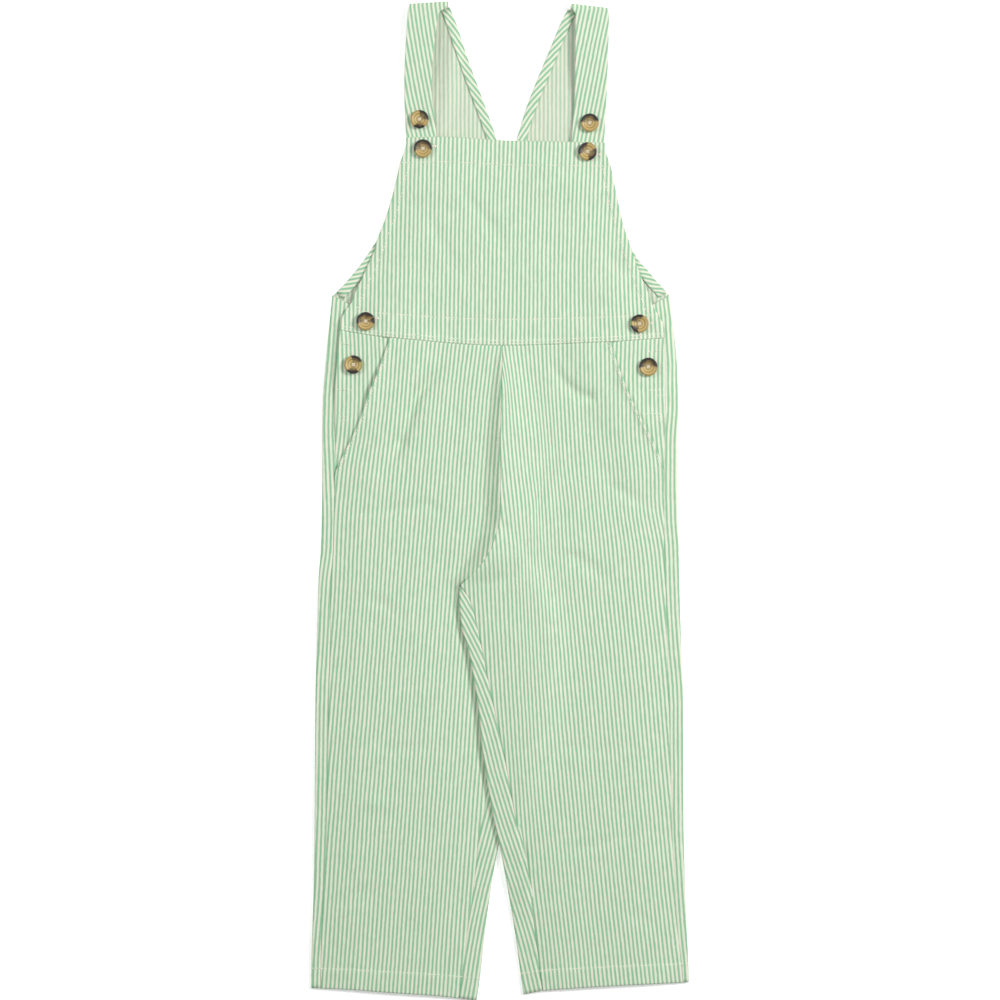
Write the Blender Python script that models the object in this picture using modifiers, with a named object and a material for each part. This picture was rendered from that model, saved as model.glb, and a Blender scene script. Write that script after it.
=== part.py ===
"""Child's striped dungarees laid flat on their back, the front up and the right leg over the left.

Millimetres in the tables, metres in the meshes. The cloth lies on z = 0, with x across the garment and
y up it, both from the middle of its box; left and right are as seen from the front. Each panel is a
grid of points on the middle of the cloth, given its wall by Solidify. The back is cut in one with the
shoulder straps: it wraps round the side and the inner leg to the seams on the front, and each strap
folds over the shoulder and comes down behind the bib.
"""

import math

import bmesh
import bpy
import numpy as np

MM = 0.001

# Cloth and how its layers stack
CLOTH = 1.0
GAP = 0.3
LAYER = CLOTH + GAP
SEAM = 0.2  # from a seam's line to each cut edge
BACK_Z = CLOTH / 2
HEM_Z = BACK_Z + LAYER
FRONT_Z = HEM_Z + LAYER
FOLD_RADIUS = (FRONT_Z - BACK_Z) / 2
FOLD_REACH = FOLD_RADIUS + CLOTH / 2
FOLD_ARC = math.pi * FOLD_RADIUS
CROWN = 1.2  # how far air lifts the front between the folds
CROWN_REACH = 45.0
RIGHT_LEG_LIFT = 3 * LAYER  # the left leg's two layers and their air lie under it
LIFT_RAMP = 25.0

# Heights up the garment
CROTCH_X, CROTCH_Y = -34.0, -73.0
CENTRE_END_Y = -13.5  # where the centre seam starts to curve to the crotch
POCKET_FOOT_Y = 25.0
PLACKET_FOOT_Y = 73.0  # foot of the button stand under the side opening
HIP_Y = 177.0  # the back's hip corner, where the armhole meets the side fold
WAIST_Y = 137.0
BIB_TOP_Y = 309.0
HEM_LINE_Y = -419.0
STRAP_TAIL_Y = 271.0
NECK_FOOT_Y = 282.0  # foot of the V, where the centre back seam starts
NECK_HEM_FOOT_Y = 258.0

WAIST_WARP = 70.0  # how far a slanting waist or hem line pulls the cloth beside it
HEM_WARP = 60.0
HEM_WIDTH = 8.0
POCKET_UNDERLAP = 14.0  # pocket side hidden behind the slant edge
STAND_TOP_SLOPE = 1.95  # cloth past the hip corner for each mm below it, along the stand's top edge

# Where a layer rides up over what lies under it: nothing at the first value, all of it at the second
STAND_FOOT = (48.0, 66.0)  # height, over the button stand's foot
STAND_HEAD = (202.0, 180.0)
STAND_INSIDE = (62.0, 38.0)  # from the bib's side
POCKET_FOOT = (6.0, 23.0)  # height, over the pocket side's foot
POCKET_INSIDE = (48.0, 22.0)  # from the slant edge
POCKET_HEAD = (165.0, 139.0)  # height on the bib, over the layers at the waist seam
POCKET_FROM_SIDE = (25.0, 43.0)  # from the bib's side
POCKET_TO_MIDDLE = (90.0, 60.0)
TAIL_FOOT = (250.0, 268.0)  # height on the bib, over the strap tails
TAIL_INSIDE = (-42.0, -16.0)  # from a tail's inner edge
WAIST_SEAM = (100.0, 130.0)  # height on the front leg, as it nears the waist seam
CROTCH_STEP = 3.0  # the two legs' seams part over this height
SEAM_CLIMB_SHARE = 0.6  # of the right leg's lift, taken by the left front beside the centre seam
SEAM_CLIMB_HEIGHT = 25.0
SEAM_CLIMB_WIDTH = 24.0

# Spacing of the grids: steps up the garment, and shares of the width across a panel
LEG_STEP = 23.0
BIB_STEP = 14.0
POCKET_STEP = 9.0
HEM_STEP = 17.0
ARC_STEPS = 5
BACK_ACROSS = (0.0, 0.2, 0.4, 0.58, 0.73, 0.87, 1.0)
LEG_ACROSS = (0.0, 0.11, 0.22, 0.33, 0.45, 0.58, 0.71, 0.85, 1.0)
BIB_ACROSS = (0.0, 0.08, 0.17, 0.27, 0.38, 0.5, 0.62, 0.73, 0.83, 0.92, 1.0)
POCKET_ACROSS = (0.0, 0.33, 0.66, 1.0)

BUTTON_DIAMETER = 15.7
BUTTON_HEIGHT = 3.2
BUTTON_STEPS = 16
BUTTON_HOLE = 1.9
BUTTON_HOLE_SIDES = 6
BUTTON_HOLE_RING = 1.9

CLOTH_GREEN = (0.47, 0.76, 0.55)
TORTOISESHELL = (0.42, 0.27, 0.10)
CLOTH_ROUGHNESS = 0.85
BUTTON_ROUGHNESS = 0.25

OUTWARD = {"left": -1.0, "right": 1.0}

# Side of the laid garment: its outer fold, and the edge of the front pieces, which is the bib's side,
# then the placket, then the side seam
SIDE_COLUMNS = ("y", "outer_fold", "front_edge")
SIDE = {
    "left": (
        (HIP_Y, -144.0, -124.0),
        (165.5, -145.2, -127.4),
        (156.5, -146.2, -132.6),
        (145.5, -147.3, -136.0),
        (118.0, -150.0, -139.0),
        (90.5, -152.2, -141.4),
        (57.5, -153.0, -141.6),
        (30.0, -152.8, -141.3),
        (4.5, -152.9, -142.4),
        (-41.0, -154.0, -143.3),
        (-69.0, -156.0, -145.2),
        (-120.5, -157.4, -146.0),
        (-165.0, -158.6, -147.0),
        (-275.0, -159.4, -149.0),
        (-340.5, -160.4, -152.0),
        (-401.5, -162.3, -154.0),
        (-430.0, -162.6, -153.6),
    ),
    "right": (
        (HIP_Y, 145.8, 126.8),
        (165.5, 147.2, 131.0),
        (156.5, 148.4, 136.2),
        (145.5, 149.5, 140.8),
        (112.5, 152.5, 141.3),
        (79.5, 153.4, 141.5),
        (51.5, 152.8, 141.0),
        (26.5, 152.8, 140.6),
        (-14.0, 153.0, 141.0),
        (-41.0, 154.0, 140.6),
        (-85.0, 154.7, 142.4),
        (-120.5, 155.8, 143.0),
        (-180.0, 157.7, 145.0),
        (-275.0, 157.9, 147.5),
        (-323.5, 159.0, 149.5),
        (-373.0, 160.8, 152.6),
        (-401.5, 162.0, 156.0),
        (-430.0, 162.6, 157.2),
    ),
}

# Inner leg: the inseam that rolls onto the front, and its fold. The left leg's runs on under the right
INNER_COLUMNS = ("y", "inseam", "inner_fold")
INNER = {
    "left": (
        (CROTCH_Y, -36.0, -34.4),
        (-85.0, -26.0, -14.0),
        (-98.0, -8.0, 8.0),
        (-115.0, 6.0, 22.0),
        (-140.0, 9.0, 24.0),
        (-172.0, 4.0, 19.5),
        (-214.0, -2.0, 15.5),
        (-258.0, -11.0, 7.5),
        (-286.5, -17.5, 1.5),
        (-303.0, -19.5, -2.4),
        (-346.5, -24.5, -9.5),
        (-379.0, -29.5, -13.9),
        (-410.0, -34.0, -18.4),
        (-430.0, -36.5, -22.0),
    ),
    "right": (
        (CROTCH_Y, -33.4, -35.0),
        (-87.0, -25.5, -35.0),
        (-109.0, -19.5, -33.0),
        (-130.5, -15.0, -26.8),
        (-157.5, -9.5, -22.0),
        (-184.0, -4.0, -18.0),
        (-210.5, 2.0, -15.8),
        (-243.5, 8.0, -10.8),
        (-268.5, 12.5, -6.5),
        (-297.0, 17.5, -0.3),
        (-314.0, 20.6, 3.0),
        (-340.0, 25.2, 7.5),
        (-373.0, 30.5, 13.0),
        (-404.0, 34.5, 17.7),
        (-430.0, 38.5, 21.5),
    ),
}

# The button stand that the back carries under the front: its free edge above the placket's foot
STAND_COLUMNS = ("y", "edge")
STAND = {
    "left": ((HIP_Y, -100.0), (145.0, -102.0), (116.0, -111.0), (93.0, -118.0), (PLACKET_FOOT_Y, -123.0)),
    "right": ((HIP_Y, 104.0), (145.0, 106.0), (114.0, 114.0), (93.0, 120.0), (PLACKET_FOOT_Y, 125.0)),
}

# The back's armhole edge, from the shoulder to the hip corner, and the V of its neck
ARMHOLE_COLUMNS = ("y", "x")
ARMHOLE = {
    "left": (
        (427.0, -77.6),
        (380.0, -75.0),
        (312.0, -71.0),
        (280.0, -75.0),
        (250.0, -87.5),
        (223.0, -106.0),
        (211.0, -113.6),
        (199.5, -121.9),
        (189.5, -130.2),
        (183.0, -136.0),
        (HIP_Y, -142.2),
    ),
    "right": (
        (427.0, 93.0),
        (380.0, 88.0),
        (312.0, 82.0),
        (280.0, 85.5),
        (250.0, 97.0),
        (218.0, 112.2),
        (207.5, 118.3),
        (198.0, 126.6),
        (188.0, 134.8),
        (181.0, 141.4),
        (HIP_Y, 144.0),
    ),
}
NECK_COLUMNS = ("y", "x")
NECK = {
    "left": (
        (427.0, -44.5),
        (418.0, -40.6),
        (387.0, -30.3),
        (335.5, -11.6),
        (318.5, -5.6),
        (NECK_FOOT_Y, 6.0),
    ),
    "right": (
        (427.0, 61.0),
        (418.0, 56.0),
        (387.0, 42.8),
        (335.5, 22.2),
        (318.5, 17.0),
        (NECK_FOOT_Y, 6.0),
    ),
}
# The shoulder fold: its height at the armhole and at the neck
SHOULDER = {"left": (427.2, 429.4), "right": (423.6, 427.4)}

# The strap's front, from the shoulder to the tail behind the bib
STRAP_COLUMNS = ("y", "outer", "inner")
STRAP = {
    "left": (
        (430.0, -77.8, -46.0),
        (422.0, -78.6, -51.8),
        (352.5, -82.0, -58.6),
        (312.0, -80.6, -54.6),
        (STRAP_TAIL_Y, -78.0, -52.0),
    ),
    "right": (
        (430.0, 93.4, 62.0),
        (422.0, 93.4, 64.6),
        (352.5, 91.7, 64.2),
        (309.0, 89.6, 61.4),
        (STRAP_TAIL_Y, 87.0, 59.0),
    ),
}

# Sides of the bib, from its top hem to the waist seam
BIB_COLUMNS = ("y", "left", "right")
BIB = (
    (312.0, -80.5, 89.8),
    (304.0, -80.3, 90.3),
    (288.0, -85.4, 95.0),
    (267.0, -90.5, 99.1),
    (249.5, -95.6, 102.8),
    (233.0, -101.4, 106.8),
    (223.0, -105.6, 110.4),
    (213.0, -108.0, 113.3),
    (203.5, -112.4, 116.7),
    (190.0, -118.4, 121.7),
    (175.5, -124.5, 127.6),
    (165.5, -127.4, 131.0),
    (156.5, -132.6, 136.2),
    (145.5, -136.0, 140.8),
    (134.0, -137.2, 141.0),
)

# Lines that run across: height at each x
BIB_TOP_COLUMNS = ("x", "y")
BIB_TOP = ((-80.5, 311.0), (-53.5, 311.5), (-3.5, 309.0), (16.0, 308.2), (90.0, 306.6))
WAIST_COLUMNS = ("x", "y")
WAIST = ((-137.0, 145.5), (-107.0, 140.5), (-94.0, 139.0), (2.0, 132.5), (94.5, 135.5), (141.0, 138.8))
HEM_COLUMNS = ("x", "y")
HEM = {
    "left": ((-162.0, -419.0), (-130.0, -419.8), (-95.0, -422.4), (-58.0, -424.8), (-22.0, -429.5)),
    "right": ((21.0, -424.3), (42.0, -420.5), (62.0, -418.8), (124.0, -415.3), (162.0, -414.0)),
}

# Centre front from the waist down its curve to the crotch; the centre back runs a little inside it
CENTRE_COLUMNS = ("y", "front", "back")
CENTRE = (
    (NECK_FOOT_Y, 6.0, 6.0),
    (132.5, 2.0, 2.0),
    (60.0, 0.5, 0.8),
    (CENTRE_END_Y, 0.0, 1.0),
    (-31.0, -4.2, -1.2),
    (-42.0, -8.0, -4.8),
    (-51.5, -13.5, -10.0),
    (-62.0, -22.5, -19.0),
    (-69.0, -30.0, -27.5),
    (CROTCH_Y, CROTCH_X, CROTCH_X),
)

# Slant edge of each pocket
POCKET_COLUMNS = ("y", "edge")
POCKET = {
    "left": ((139.5, -93.5), (101.5, -107.0), (92.0, -111.6), (70.5, -119.3), (41.5, -133.0), (25.0, -140.8)),
    "right": ((136.0, 94.5), (105.0, 105.0), (90.5, 110.6), (60.0, 126.0), (45.0, 133.4), (25.0, 140.6)),
}

# How far right the lifted part of the right leg reaches before it comes down to the floor
LIFT_COLUMNS = ("y", "edge")
LIFT = (
    (CENTRE_END_Y, 6.0),
    (-50.0, 14.0),
    (CROTCH_Y, 26.0),
    (-98.0, 36.0),
    (-140.0, 40.0),
    (-172.0, 35.0),
    (-214.0, 29.0),
    (-253.0, 18.0),
    (-286.5, 6.0),
    (-303.0, -1.5),
    (-346.5, -9.0),
    (-430.0, -22.0),
)

# The largest creases of the front legs, end to end; a trough's rise is below nothing
CREASE_COLUMNS = ("side", "x1", "y1", "x2", "y2", "reach", "rise")
CREASES = (
    ("left", -52.0, 113.0, -73.0, 79.0, 18.0, -0.7),
    ("left", -73.0, 79.0, -86.0, 44.0, 20.0, -1.0),
    ("left", -86.0, 44.0, -91.0, 14.0, 18.0, -0.7),
    ("right", 41.0, 6.0, 29.0, -44.0, 20.0, 0.8),
    ("right", 29.0, -44.0, 25.0, -92.0, 18.0, 0.7),
)

BUTTON_COLUMNS = ("place", "x", "y", "layers")
BUTTONS = (
    ("strap_left", -69.0, 326.5, 0),
    ("strap_right", 77.0, 323.5, 0),
    ("bib_left", -66.0, 301.0, 1),
    ("bib_right", 75.0, 298.5, 1),
    ("waist_left", -115.0, 153.0, 1),
    ("waist_right", 119.5, 151.0, 1),
    ("placket_left", -125.5, 116.0, 1),
    ("placket_right", 127.0, 114.0, 1),
)

# A button's turned outline from its dished middle over the rim and under, as shares of radius and height
PROFILE_COLUMNS = ("out", "up")
PROFILE = (
    (0.0, 0.53),
    (0.46, 0.53),
    (0.64, 0.72),
    (0.84, 1.0),
    (0.955, 0.91),
    (1.0, 0.6),
    (0.936, 0.28),
    (0.586, 0.0),
    (0.0, 0.0),
)


def curve(rows, value):
    """A function through a table's first column and one other: cubic pieces that never overshoot."""
    points = sorted((row[0], row[value]) for row in rows)
    at = np.array([p[0] for p in points])
    to = np.array([p[1] for p in points])
    slopes = np.diff(to) / np.diff(at)
    turns = np.zeros(len(at))
    turns[0], turns[-1] = slopes[0], slopes[-1]
    for i in range(1, len(slopes)):
        before, after = slopes[i - 1], slopes[i]
        if before * after > 0:
            turns[i] = 2 * before * after / (before + after)

    def read(x):
        x = min(max(x, at[0]), at[-1])
        i = int(min(max(np.searchsorted(at, x) - 1, 0), len(at) - 2))
        width = at[i + 1] - at[i]
        t = (x - at[i]) / width
        return float(
            to[i] * (1 + 2 * t) * (1 - t) ** 2
            + to[i + 1] * t * t * (3 - 2 * t)
            + width * turns[i] * t * (1 - t) ** 2
            + width * turns[i + 1] * t * t * (t - 1)
        )

    return read


def sides(table, columns, column):
    """The curve of one named column on each side of the garment."""
    return {side: curve(rows, columns.index(column)) for side, rows in table.items()}


outer_fold = sides(SIDE, SIDE_COLUMNS, "outer_fold")
front_edge = sides(SIDE, SIDE_COLUMNS, "front_edge")
inseam = sides(INNER, INNER_COLUMNS, "inseam")
inner_fold = sides(INNER, INNER_COLUMNS, "inner_fold")
stand_edge = sides(STAND, STAND_COLUMNS, "edge")
armhole = sides(ARMHOLE, ARMHOLE_COLUMNS, "x")
neck = sides(NECK, NECK_COLUMNS, "x")
strap_outer = sides(STRAP, STRAP_COLUMNS, "outer")
strap_inner = sides(STRAP, STRAP_COLUMNS, "inner")
pocket_edge = sides(POCKET, POCKET_COLUMNS, "edge")
hem = sides(HEM, HEM_COLUMNS, "y")
bib_side = {side: curve(BIB, BIB_COLUMNS.index(side)) for side in OUTWARD}
bib_top = curve(BIB_TOP, BIB_TOP_COLUMNS.index("y"))
waist = curve(WAIST, WAIST_COLUMNS.index("y"))
centre_front = curve(CENTRE, CENTRE_COLUMNS.index("front"))
centre_back = curve(CENTRE, CENTRE_COLUMNS.index("back"))
lift_edge = curve(LIFT, LIFT_COLUMNS.index("edge"))


def soft(t):
    """0 below 0, 1 above 1 and smooth between."""
    t = min(max(t, 0.0), 1.0)
    return t * t * (3 - 2 * t)


def ramp(value, limits):
    """0 at the first limit, 1 at the second and smooth between."""
    return soft((value - limits[0]) / (limits[1] - limits[0]))


def spread(low, high, shares):
    return [low + (high - low) * share for share in shares]


def levels(top, bottom, step, stops=()):
    """Row heights from top to bottom, evenly apart between the stops."""
    marks = [top] + sorted((s for s in stops if bottom < s < top), reverse=True) + [bottom]
    rows = [top]
    for high, low in zip(marks, marks[1:]):
        count = max(1, round((high - low) / step))
        rows += [high + (low - high) * k / count for k in range(1, count + 1)]
    return rows


def leg_lift(side, x, y):
    """How far the right leg is carried up where it lies on the left one."""
    if side == "left":
        return 0.0
    edge = lift_edge(y)
    return RIGHT_LEG_LIFT * ramp(y, (CENTRE_END_Y, CROTCH_Y)) * ramp(x, (edge + LIFT_RAMP, edge))


def seam_climb(side, x, y):
    """The left front climbs to the centre seam where the right one lies over it."""
    if side == "right" or y > CENTRE_END_Y:
        return 0.0
    height = ramp(y, (CENTRE_END_Y, CROTCH_Y)) * ramp(y, (CROTCH_Y, CROTCH_Y + SEAM_CLIMB_HEIGHT))
    width = soft(1 - (centre_front(y) - x) / SEAM_CLIMB_WIDTH)
    return SEAM_CLIMB_SHARE * RIGHT_LEG_LIFT * height * width


def crown(side, x, y):
    """Air under the front: none at the folds, most between them."""
    from_side = abs(outer_fold[side](y) - x)
    if y > CROTCH_Y:
        from_inner = math.hypot(x - CROTCH_X, y - CROTCH_Y)
    elif side == "left":
        from_inner = min(inner_fold["left"](y), inner_fold["right"](y)) - x
    else:
        from_inner = x - inner_fold["right"](y)
    return CROWN * soft(from_side / CROWN_REACH) * soft(from_inner / CROWN_REACH)


def crease(side, x, y):
    """The deepest trough and the highest ridge that pass a point, added."""
    low = high = 0.0
    for row in CREASES:
        line = dict(zip(CREASE_COLUMNS, row))
        if line["side"] != side:
            continue
        run_x, run_y = line["x2"] - line["x1"], line["y2"] - line["y1"]
        along = ((x - line["x1"]) * run_x + (y - line["y1"]) * run_y) / (run_x**2 + run_y**2)
        along = min(max(along, 0.0), 1.0)
        away = math.hypot(x - line["x1"] - along * run_x, y - line["y1"] - along * run_y)
        rise = line["rise"] * soft(1 - away / line["reach"])
        low, high = min(low, rise), max(high, rise)
    return low + high


def pocket_layers(side, x, y):
    """How many layers lie between the front leg and the back beside the slant edge."""
    inside = abs(x - pocket_edge[side](y))
    return (1 + ramp(y, STAND_FOOT)) * ramp(y, POCKET_FOOT) * ramp(inside, POCKET_INSIDE)


def hem_warp(side, x, y):
    return (hem[side](x) - HEM_LINE_Y) * soft(1 - (y - HEM_LINE_Y) / HEM_WARP)


def waist_warp(x, y):
    return (waist(x) - WAIST_Y) * soft(1 - (WAIST_Y - y) / WAIST_WARP)


def fold_point(side_x, outward, along):
    """(x, rise) at a length past the line where the cloth leaves the floor to fold over."""
    if along <= FOLD_ARC:
        turn = along / FOLD_RADIUS
        return side_x + outward * FOLD_RADIUS * math.sin(turn), FOLD_RADIUS * (1 - math.cos(turn))
    return side_x - outward * (along - FOLD_ARC), 2 * FOLD_RADIUS


def wrap_lengths(reach):
    """Lengths along a wrap: round the fold, then over the front to its edge."""
    arc = min(reach, FOLD_ARC)
    return [arc * k / ARC_STEPS for k in range(ARC_STEPS + 1)] + [(arc + reach) / 2, reach]


def panel(name, grids, finish):
    """A cloth solid from grids of points on the middle of the cloth, in mm, that share their edges."""
    mesh = bmesh.new()
    for grid in grids:
        rows = [[mesh.verts.new([c * MM for c in point]) for point in row] for row in grid]
        for above, below in zip(rows, rows[1:]):
            for i in range(len(above) - 1):
                mesh.faces.new((above[i], below[i], below[i + 1], above[i + 1]))
    bmesh.ops.remove_doubles(mesh, verts=mesh.verts, dist=1e-6)
    bmesh.ops.recalc_face_normals(mesh, faces=mesh.faces)
    data = bpy.data.meshes.new(name)
    mesh.to_mesh(data)
    mesh.free()
    data.shade_smooth()
    data.materials.append(finish)
    piece = bpy.data.objects.new(name, data)
    garment.objects.link(piece)
    wall = piece.modifiers.new("Wall", "SOLIDIFY")
    wall.thickness = CLOTH * MM
    wall.offset = 0


def back_floor_edges(side, y):
    """Where the back's flat part ends at a height: its armhole or side, and its neck, centre or inner leg."""
    outward = OUTWARD[side]
    if y >= HIP_Y:
        outer = armhole[side](y)
    else:
        outer = outer_fold[side](y) - outward * FOLD_REACH
    if y >= NECK_FOOT_Y:
        inner = neck[side](y)
    elif y >= CROTCH_Y:
        inner = centre_back(y) + outward * SEAM
    else:
        parted = soft((CROTCH_Y - y) / CROTCH_STEP)
        inner = inner_fold[side](y) + outward * (FOLD_REACH * parted + SEAM * (1 - parted))
    return outer, inner


def back_point(side, x, y, rise=0.0):
    return x, y + hem_warp(side, x, y), BACK_Z + rise + leg_lift(side, x, y)


def shoulder_line(side):
    """Points of the back's last flat row, where the strap leaves the floor to fold over the shoulder."""
    edge_x = (armhole[side](SHOULDER[side][0]), neck[side](SHOULDER[side][1]))
    line_y = spread(*SHOULDER[side], BACK_ACROSS)
    return [(x, y - FOLD_REACH, BACK_Z) for x, y in zip(spread(*edge_x, BACK_ACROSS), line_y)]


def side_wrap(side, rows):
    """From the side fold onto the front: the button stand, and below it the strip to the side seam."""
    outward = OUTWARD[side]
    grid = []
    for y in rows:
        start = back_floor_edges(side, y)[0]
        if y > PLACKET_FOOT_Y - 1.0:
            ends = stand_edge[side](y)
        else:
            ends = front_edge[side](y) + outward * SEAM
        reach = min(FOLD_ARC + abs(start - ends), (HIP_Y - y) * STAND_TOP_SLOPE)
        folded = [fold_point(start, outward, along) for along in wrap_lengths(reach)]
        grid.append([back_point(side, x, y, rise) for x, rise in folded])
    return grid


def inner_wrap(side, rows):
    """From the inner leg's fold onto the front, as far as the inseam."""
    outward = OUTWARD[side]
    grid = []
    for y in rows:
        start = back_floor_edges(side, y)[1]
        ends = inseam[side](y) - outward * SEAM
        reach = FOLD_ARC + abs(start - ends) if y < CROTCH_Y else 0.0
        lift = leg_lift(side, start, y)
        folded = [fold_point(start, -outward, along) for along in wrap_lengths(reach)]
        grid.append([(x, y + hem_warp(side, x, y), BACK_Z + rise + lift) for x, rise in folded])
    return grid


def over_shoulder(side, line):
    """Round the shoulder fold and down the front of the strap to its tail."""
    grid = []
    for k in range(ARC_STEPS + 1):
        turn = math.pi * k / ARC_STEPS
        out, up = FOLD_RADIUS * math.sin(turn), FOLD_RADIUS * (1 - math.cos(turn))
        grid.append([(x, y + out, z + up) for x, y, z in line])
    for y in levels(421.0, STRAP_TAIL_Y, LEG_STEP):
        across = spread(strap_outer[side](y), strap_inner[side](y), BACK_ACROSS)
        grid.append([(x, y, FRONT_Z) for x in across])
    return grid


def back_panel(side, finish):
    """Leg, seat, bodice and strap in one, from the hem up and over the shoulder to the strap's tail."""
    stops = (HIP_Y, 223.0, NECK_FOOT_Y, CENTRE_END_Y, -51.5, -62.0, CROTCH_Y, -80.0, -88.0, -98.0, -115.0)
    rows = levels(412.0, HEM_LINE_Y, LEG_STEP, stops)
    rows += [HIP_Y - drop for drop in (1.0, 2.1, 5.5, 11.5, 20.0)]
    rows += [PLACKET_FOOT_Y, PLACKET_FOOT_Y - 3.0, 36.0]
    rows = sorted(set(rows), reverse=True)
    shoulder = shoulder_line(side)
    flat = [shoulder]
    for y in rows:
        flat.append([back_point(side, x, y) for x in spread(*back_floor_edges(side, y), BACK_ACROSS)])
    grids = (
        flat,
        side_wrap(side, [y for y in rows if y <= HIP_Y]),
        inner_wrap(side, [y for y in rows if y <= CROTCH_Y]),
        over_shoulder(side, shoulder),
    )
    panel(f"back_{side}", grids, finish)


def front_leg(side, finish):
    """From the waist seam and the slant pocket edge to the hem, with the centre seam and the inseam."""
    outward = OUTWARD[side]
    stops = (70.5, POCKET_FOOT_Y + 16.0, POCKET_FOOT_Y, 6.0, CENTRE_END_Y, -31.0, -42.0, -51.5)
    stops += (-62.0, -69.0, CROTCH_Y, -79.0, -88.0, -98.0, -115.0)
    rows = []
    for y in levels(WAIST_Y, HEM_LINE_Y, LEG_STEP, stops):
        outer = pocket_edge[side](y) if y >= POCKET_FOOT_Y else front_edge[side](y) - outward * SEAM
        inner = (centre_front(y) if y >= CROTCH_Y else inseam[side](y)) + outward * SEAM
        row = []
        for x in spread(outer, inner, LEG_ACROSS):
            warp = waist_warp(x, y) + hem_warp(side, x, y) - SEAM * ramp(y, WAIST_SEAM)
            z = FRONT_Z + crown(side, x, y) + crease(side, x, y)
            z += leg_lift(side, x, y) + seam_climb(side, x, y) + LAYER * pocket_layers(side, x, y)
            row.append((x, y + warp, z))
        rows.append(row)
    panel(f"front_leg_{side}", (rows,), finish)


def pocket_side(side, finish):
    """The hip piece behind the slant edge, from the waist seam to the pocket's foot."""
    outward = OUTWARD[side]
    rows = []
    for y in levels(WAIST_Y, POCKET_FOOT_Y + 2.0, POCKET_STEP, (66.0, 48.0)):
        outer = front_edge[side](y) - outward * SEAM
        inner = pocket_edge[side](y) - outward * POCKET_UNDERLAP
        row = []
        for x in spread(outer, inner, POCKET_ACROSS):
            z = FRONT_Z + crown(side, x, y) + LAYER * ramp(y, STAND_FOOT)
            row.append((x, y + waist_warp(x, y) - SEAM, z))
        rows.append(row)
    panel(f"pocket_side_{side}", (rows,), finish)


def bib_height(x, y):
    """Middle of the bib's cloth: up over the strap tails, the button stands and the pocket's layers."""
    side = "left" if x < centre_front(y) else "right"
    inside = abs(x - bib_side[side](y))
    from_top = BIB_TOP_Y - y
    air = CROWN * soft((inside + HEM_WIDTH) / CROWN_REACH) * soft((from_top + HEM_WIDTH / 2) / CROWN_REACH)
    tail = ramp(y, TAIL_FOOT) * ramp(abs(x) - abs(strap_inner[side](STRAP_TAIL_Y)), TAIL_INSIDE)
    stand = ramp(y, STAND_HEAD) * ramp(inside, STAND_INSIDE)
    pocket = ramp(y, POCKET_HEAD) * ramp(inside, POCKET_FROM_SIDE) * ramp(inside, POCKET_TO_MIDDLE)
    return FRONT_Z + air + LAYER * (max(tail, stand) + pocket)


def bib(finish):
    """One piece from the top hem to the waist seam."""
    stops = (288.0, 267.0, 249.5, 223.0, 190.0, 165.5, 156.5, 145.5)
    rows = []
    for y in levels(BIB_TOP_Y, WAIST_Y, BIB_STEP, stops):
        row = []
        for x in spread(bib_side["left"](y), bib_side["right"](y), BIB_ACROSS):
            warp = (bib_top(x) - BIB_TOP_Y) * soft(1 - (BIB_TOP_Y - y) / HEM_WARP)
            warp += (waist(x) + SEAM - WAIST_Y) * soft(1 - (y - WAIST_Y) / HEM_WARP)
            row.append((x, y + warp, bib_height(x, y)))
        rows.append(row)
    panel("bib_front", (rows,), finish)


def edge_hem(name, points, inward, finish, foot=None):
    """A turned hem: a strip on the wrong side, along an edge given by its points and square to it.

    A foot is where the strip's inner edge ends, if it isn't square there.
    """
    rows = []
    for i, (x, y) in enumerate(points):
        before, after = points[max(i - 1, 0)], points[min(i + 1, len(points) - 1)]
        dx, dy = after[0] - before[0], after[1] - before[1]
        length = math.hypot(dx, dy)
        nx, ny = inward * dy / length, -inward * dx / length
        inner = (x + nx * HEM_WIDTH, y + ny * HEM_WIDTH)
        if foot and i == len(points) - 1:
            inner = foot
        middle = ((x + inner[0]) / 2, (y + inner[1]) / 2)
        rows.append([(*p, HEM_Z) for p in ((x + nx * GAP, y + ny * GAP), middle, inner)])
    panel(name, (rows,), finish)


def neck_hem(side, finish):
    outward = OUTWARD[side]
    top = SHOULDER[side][1] - FOLD_REACH - 3 * GAP
    points = [(neck[side](y), y) for y in levels(top, NECK_FOOT_Y + 2.5, HEM_STEP)]
    centre = neck[side](NECK_FOOT_Y) + outward * SEAM
    points.append((centre, NECK_FOOT_Y - GAP))
    edge_hem(f"neck_hem_{side}", points, -outward, finish, (centre, NECK_HEM_FOOT_Y))


def armhole_hem(side, finish):
    outward = OUTWARD[side]
    top = SHOULDER[side][0] - FOLD_REACH - GAP
    points = [(armhole[side](y), y) for y in levels(top, HIP_Y + 1.5, HEM_STEP, (250.0, 223.0, 207.0, 192.0))]
    edge_hem(f"armhole_hem_{side}", points, outward, finish)


def button_seat(x, y, layers):
    """Height of a button's underside: on the highest cloth within its reach."""
    reach = (-BUTTON_DIAMETER / 2, 0.0, BUTTON_DIAMETER / 2)
    side = "left" if x < centre_front(y) else "right"
    if y > BIB_TOP_Y:
        cloth = FRONT_Z
    elif y > WAIST_Y:
        cloth = max(bib_height(x + dx, y + dy) for dx in reach for dy in reach)
    else:
        cloth = FRONT_Z + layers * LAYER + max(crown(side, x + dx, y) for dx in reach)
    return cloth + CLOTH / 2 + GAP


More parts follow.
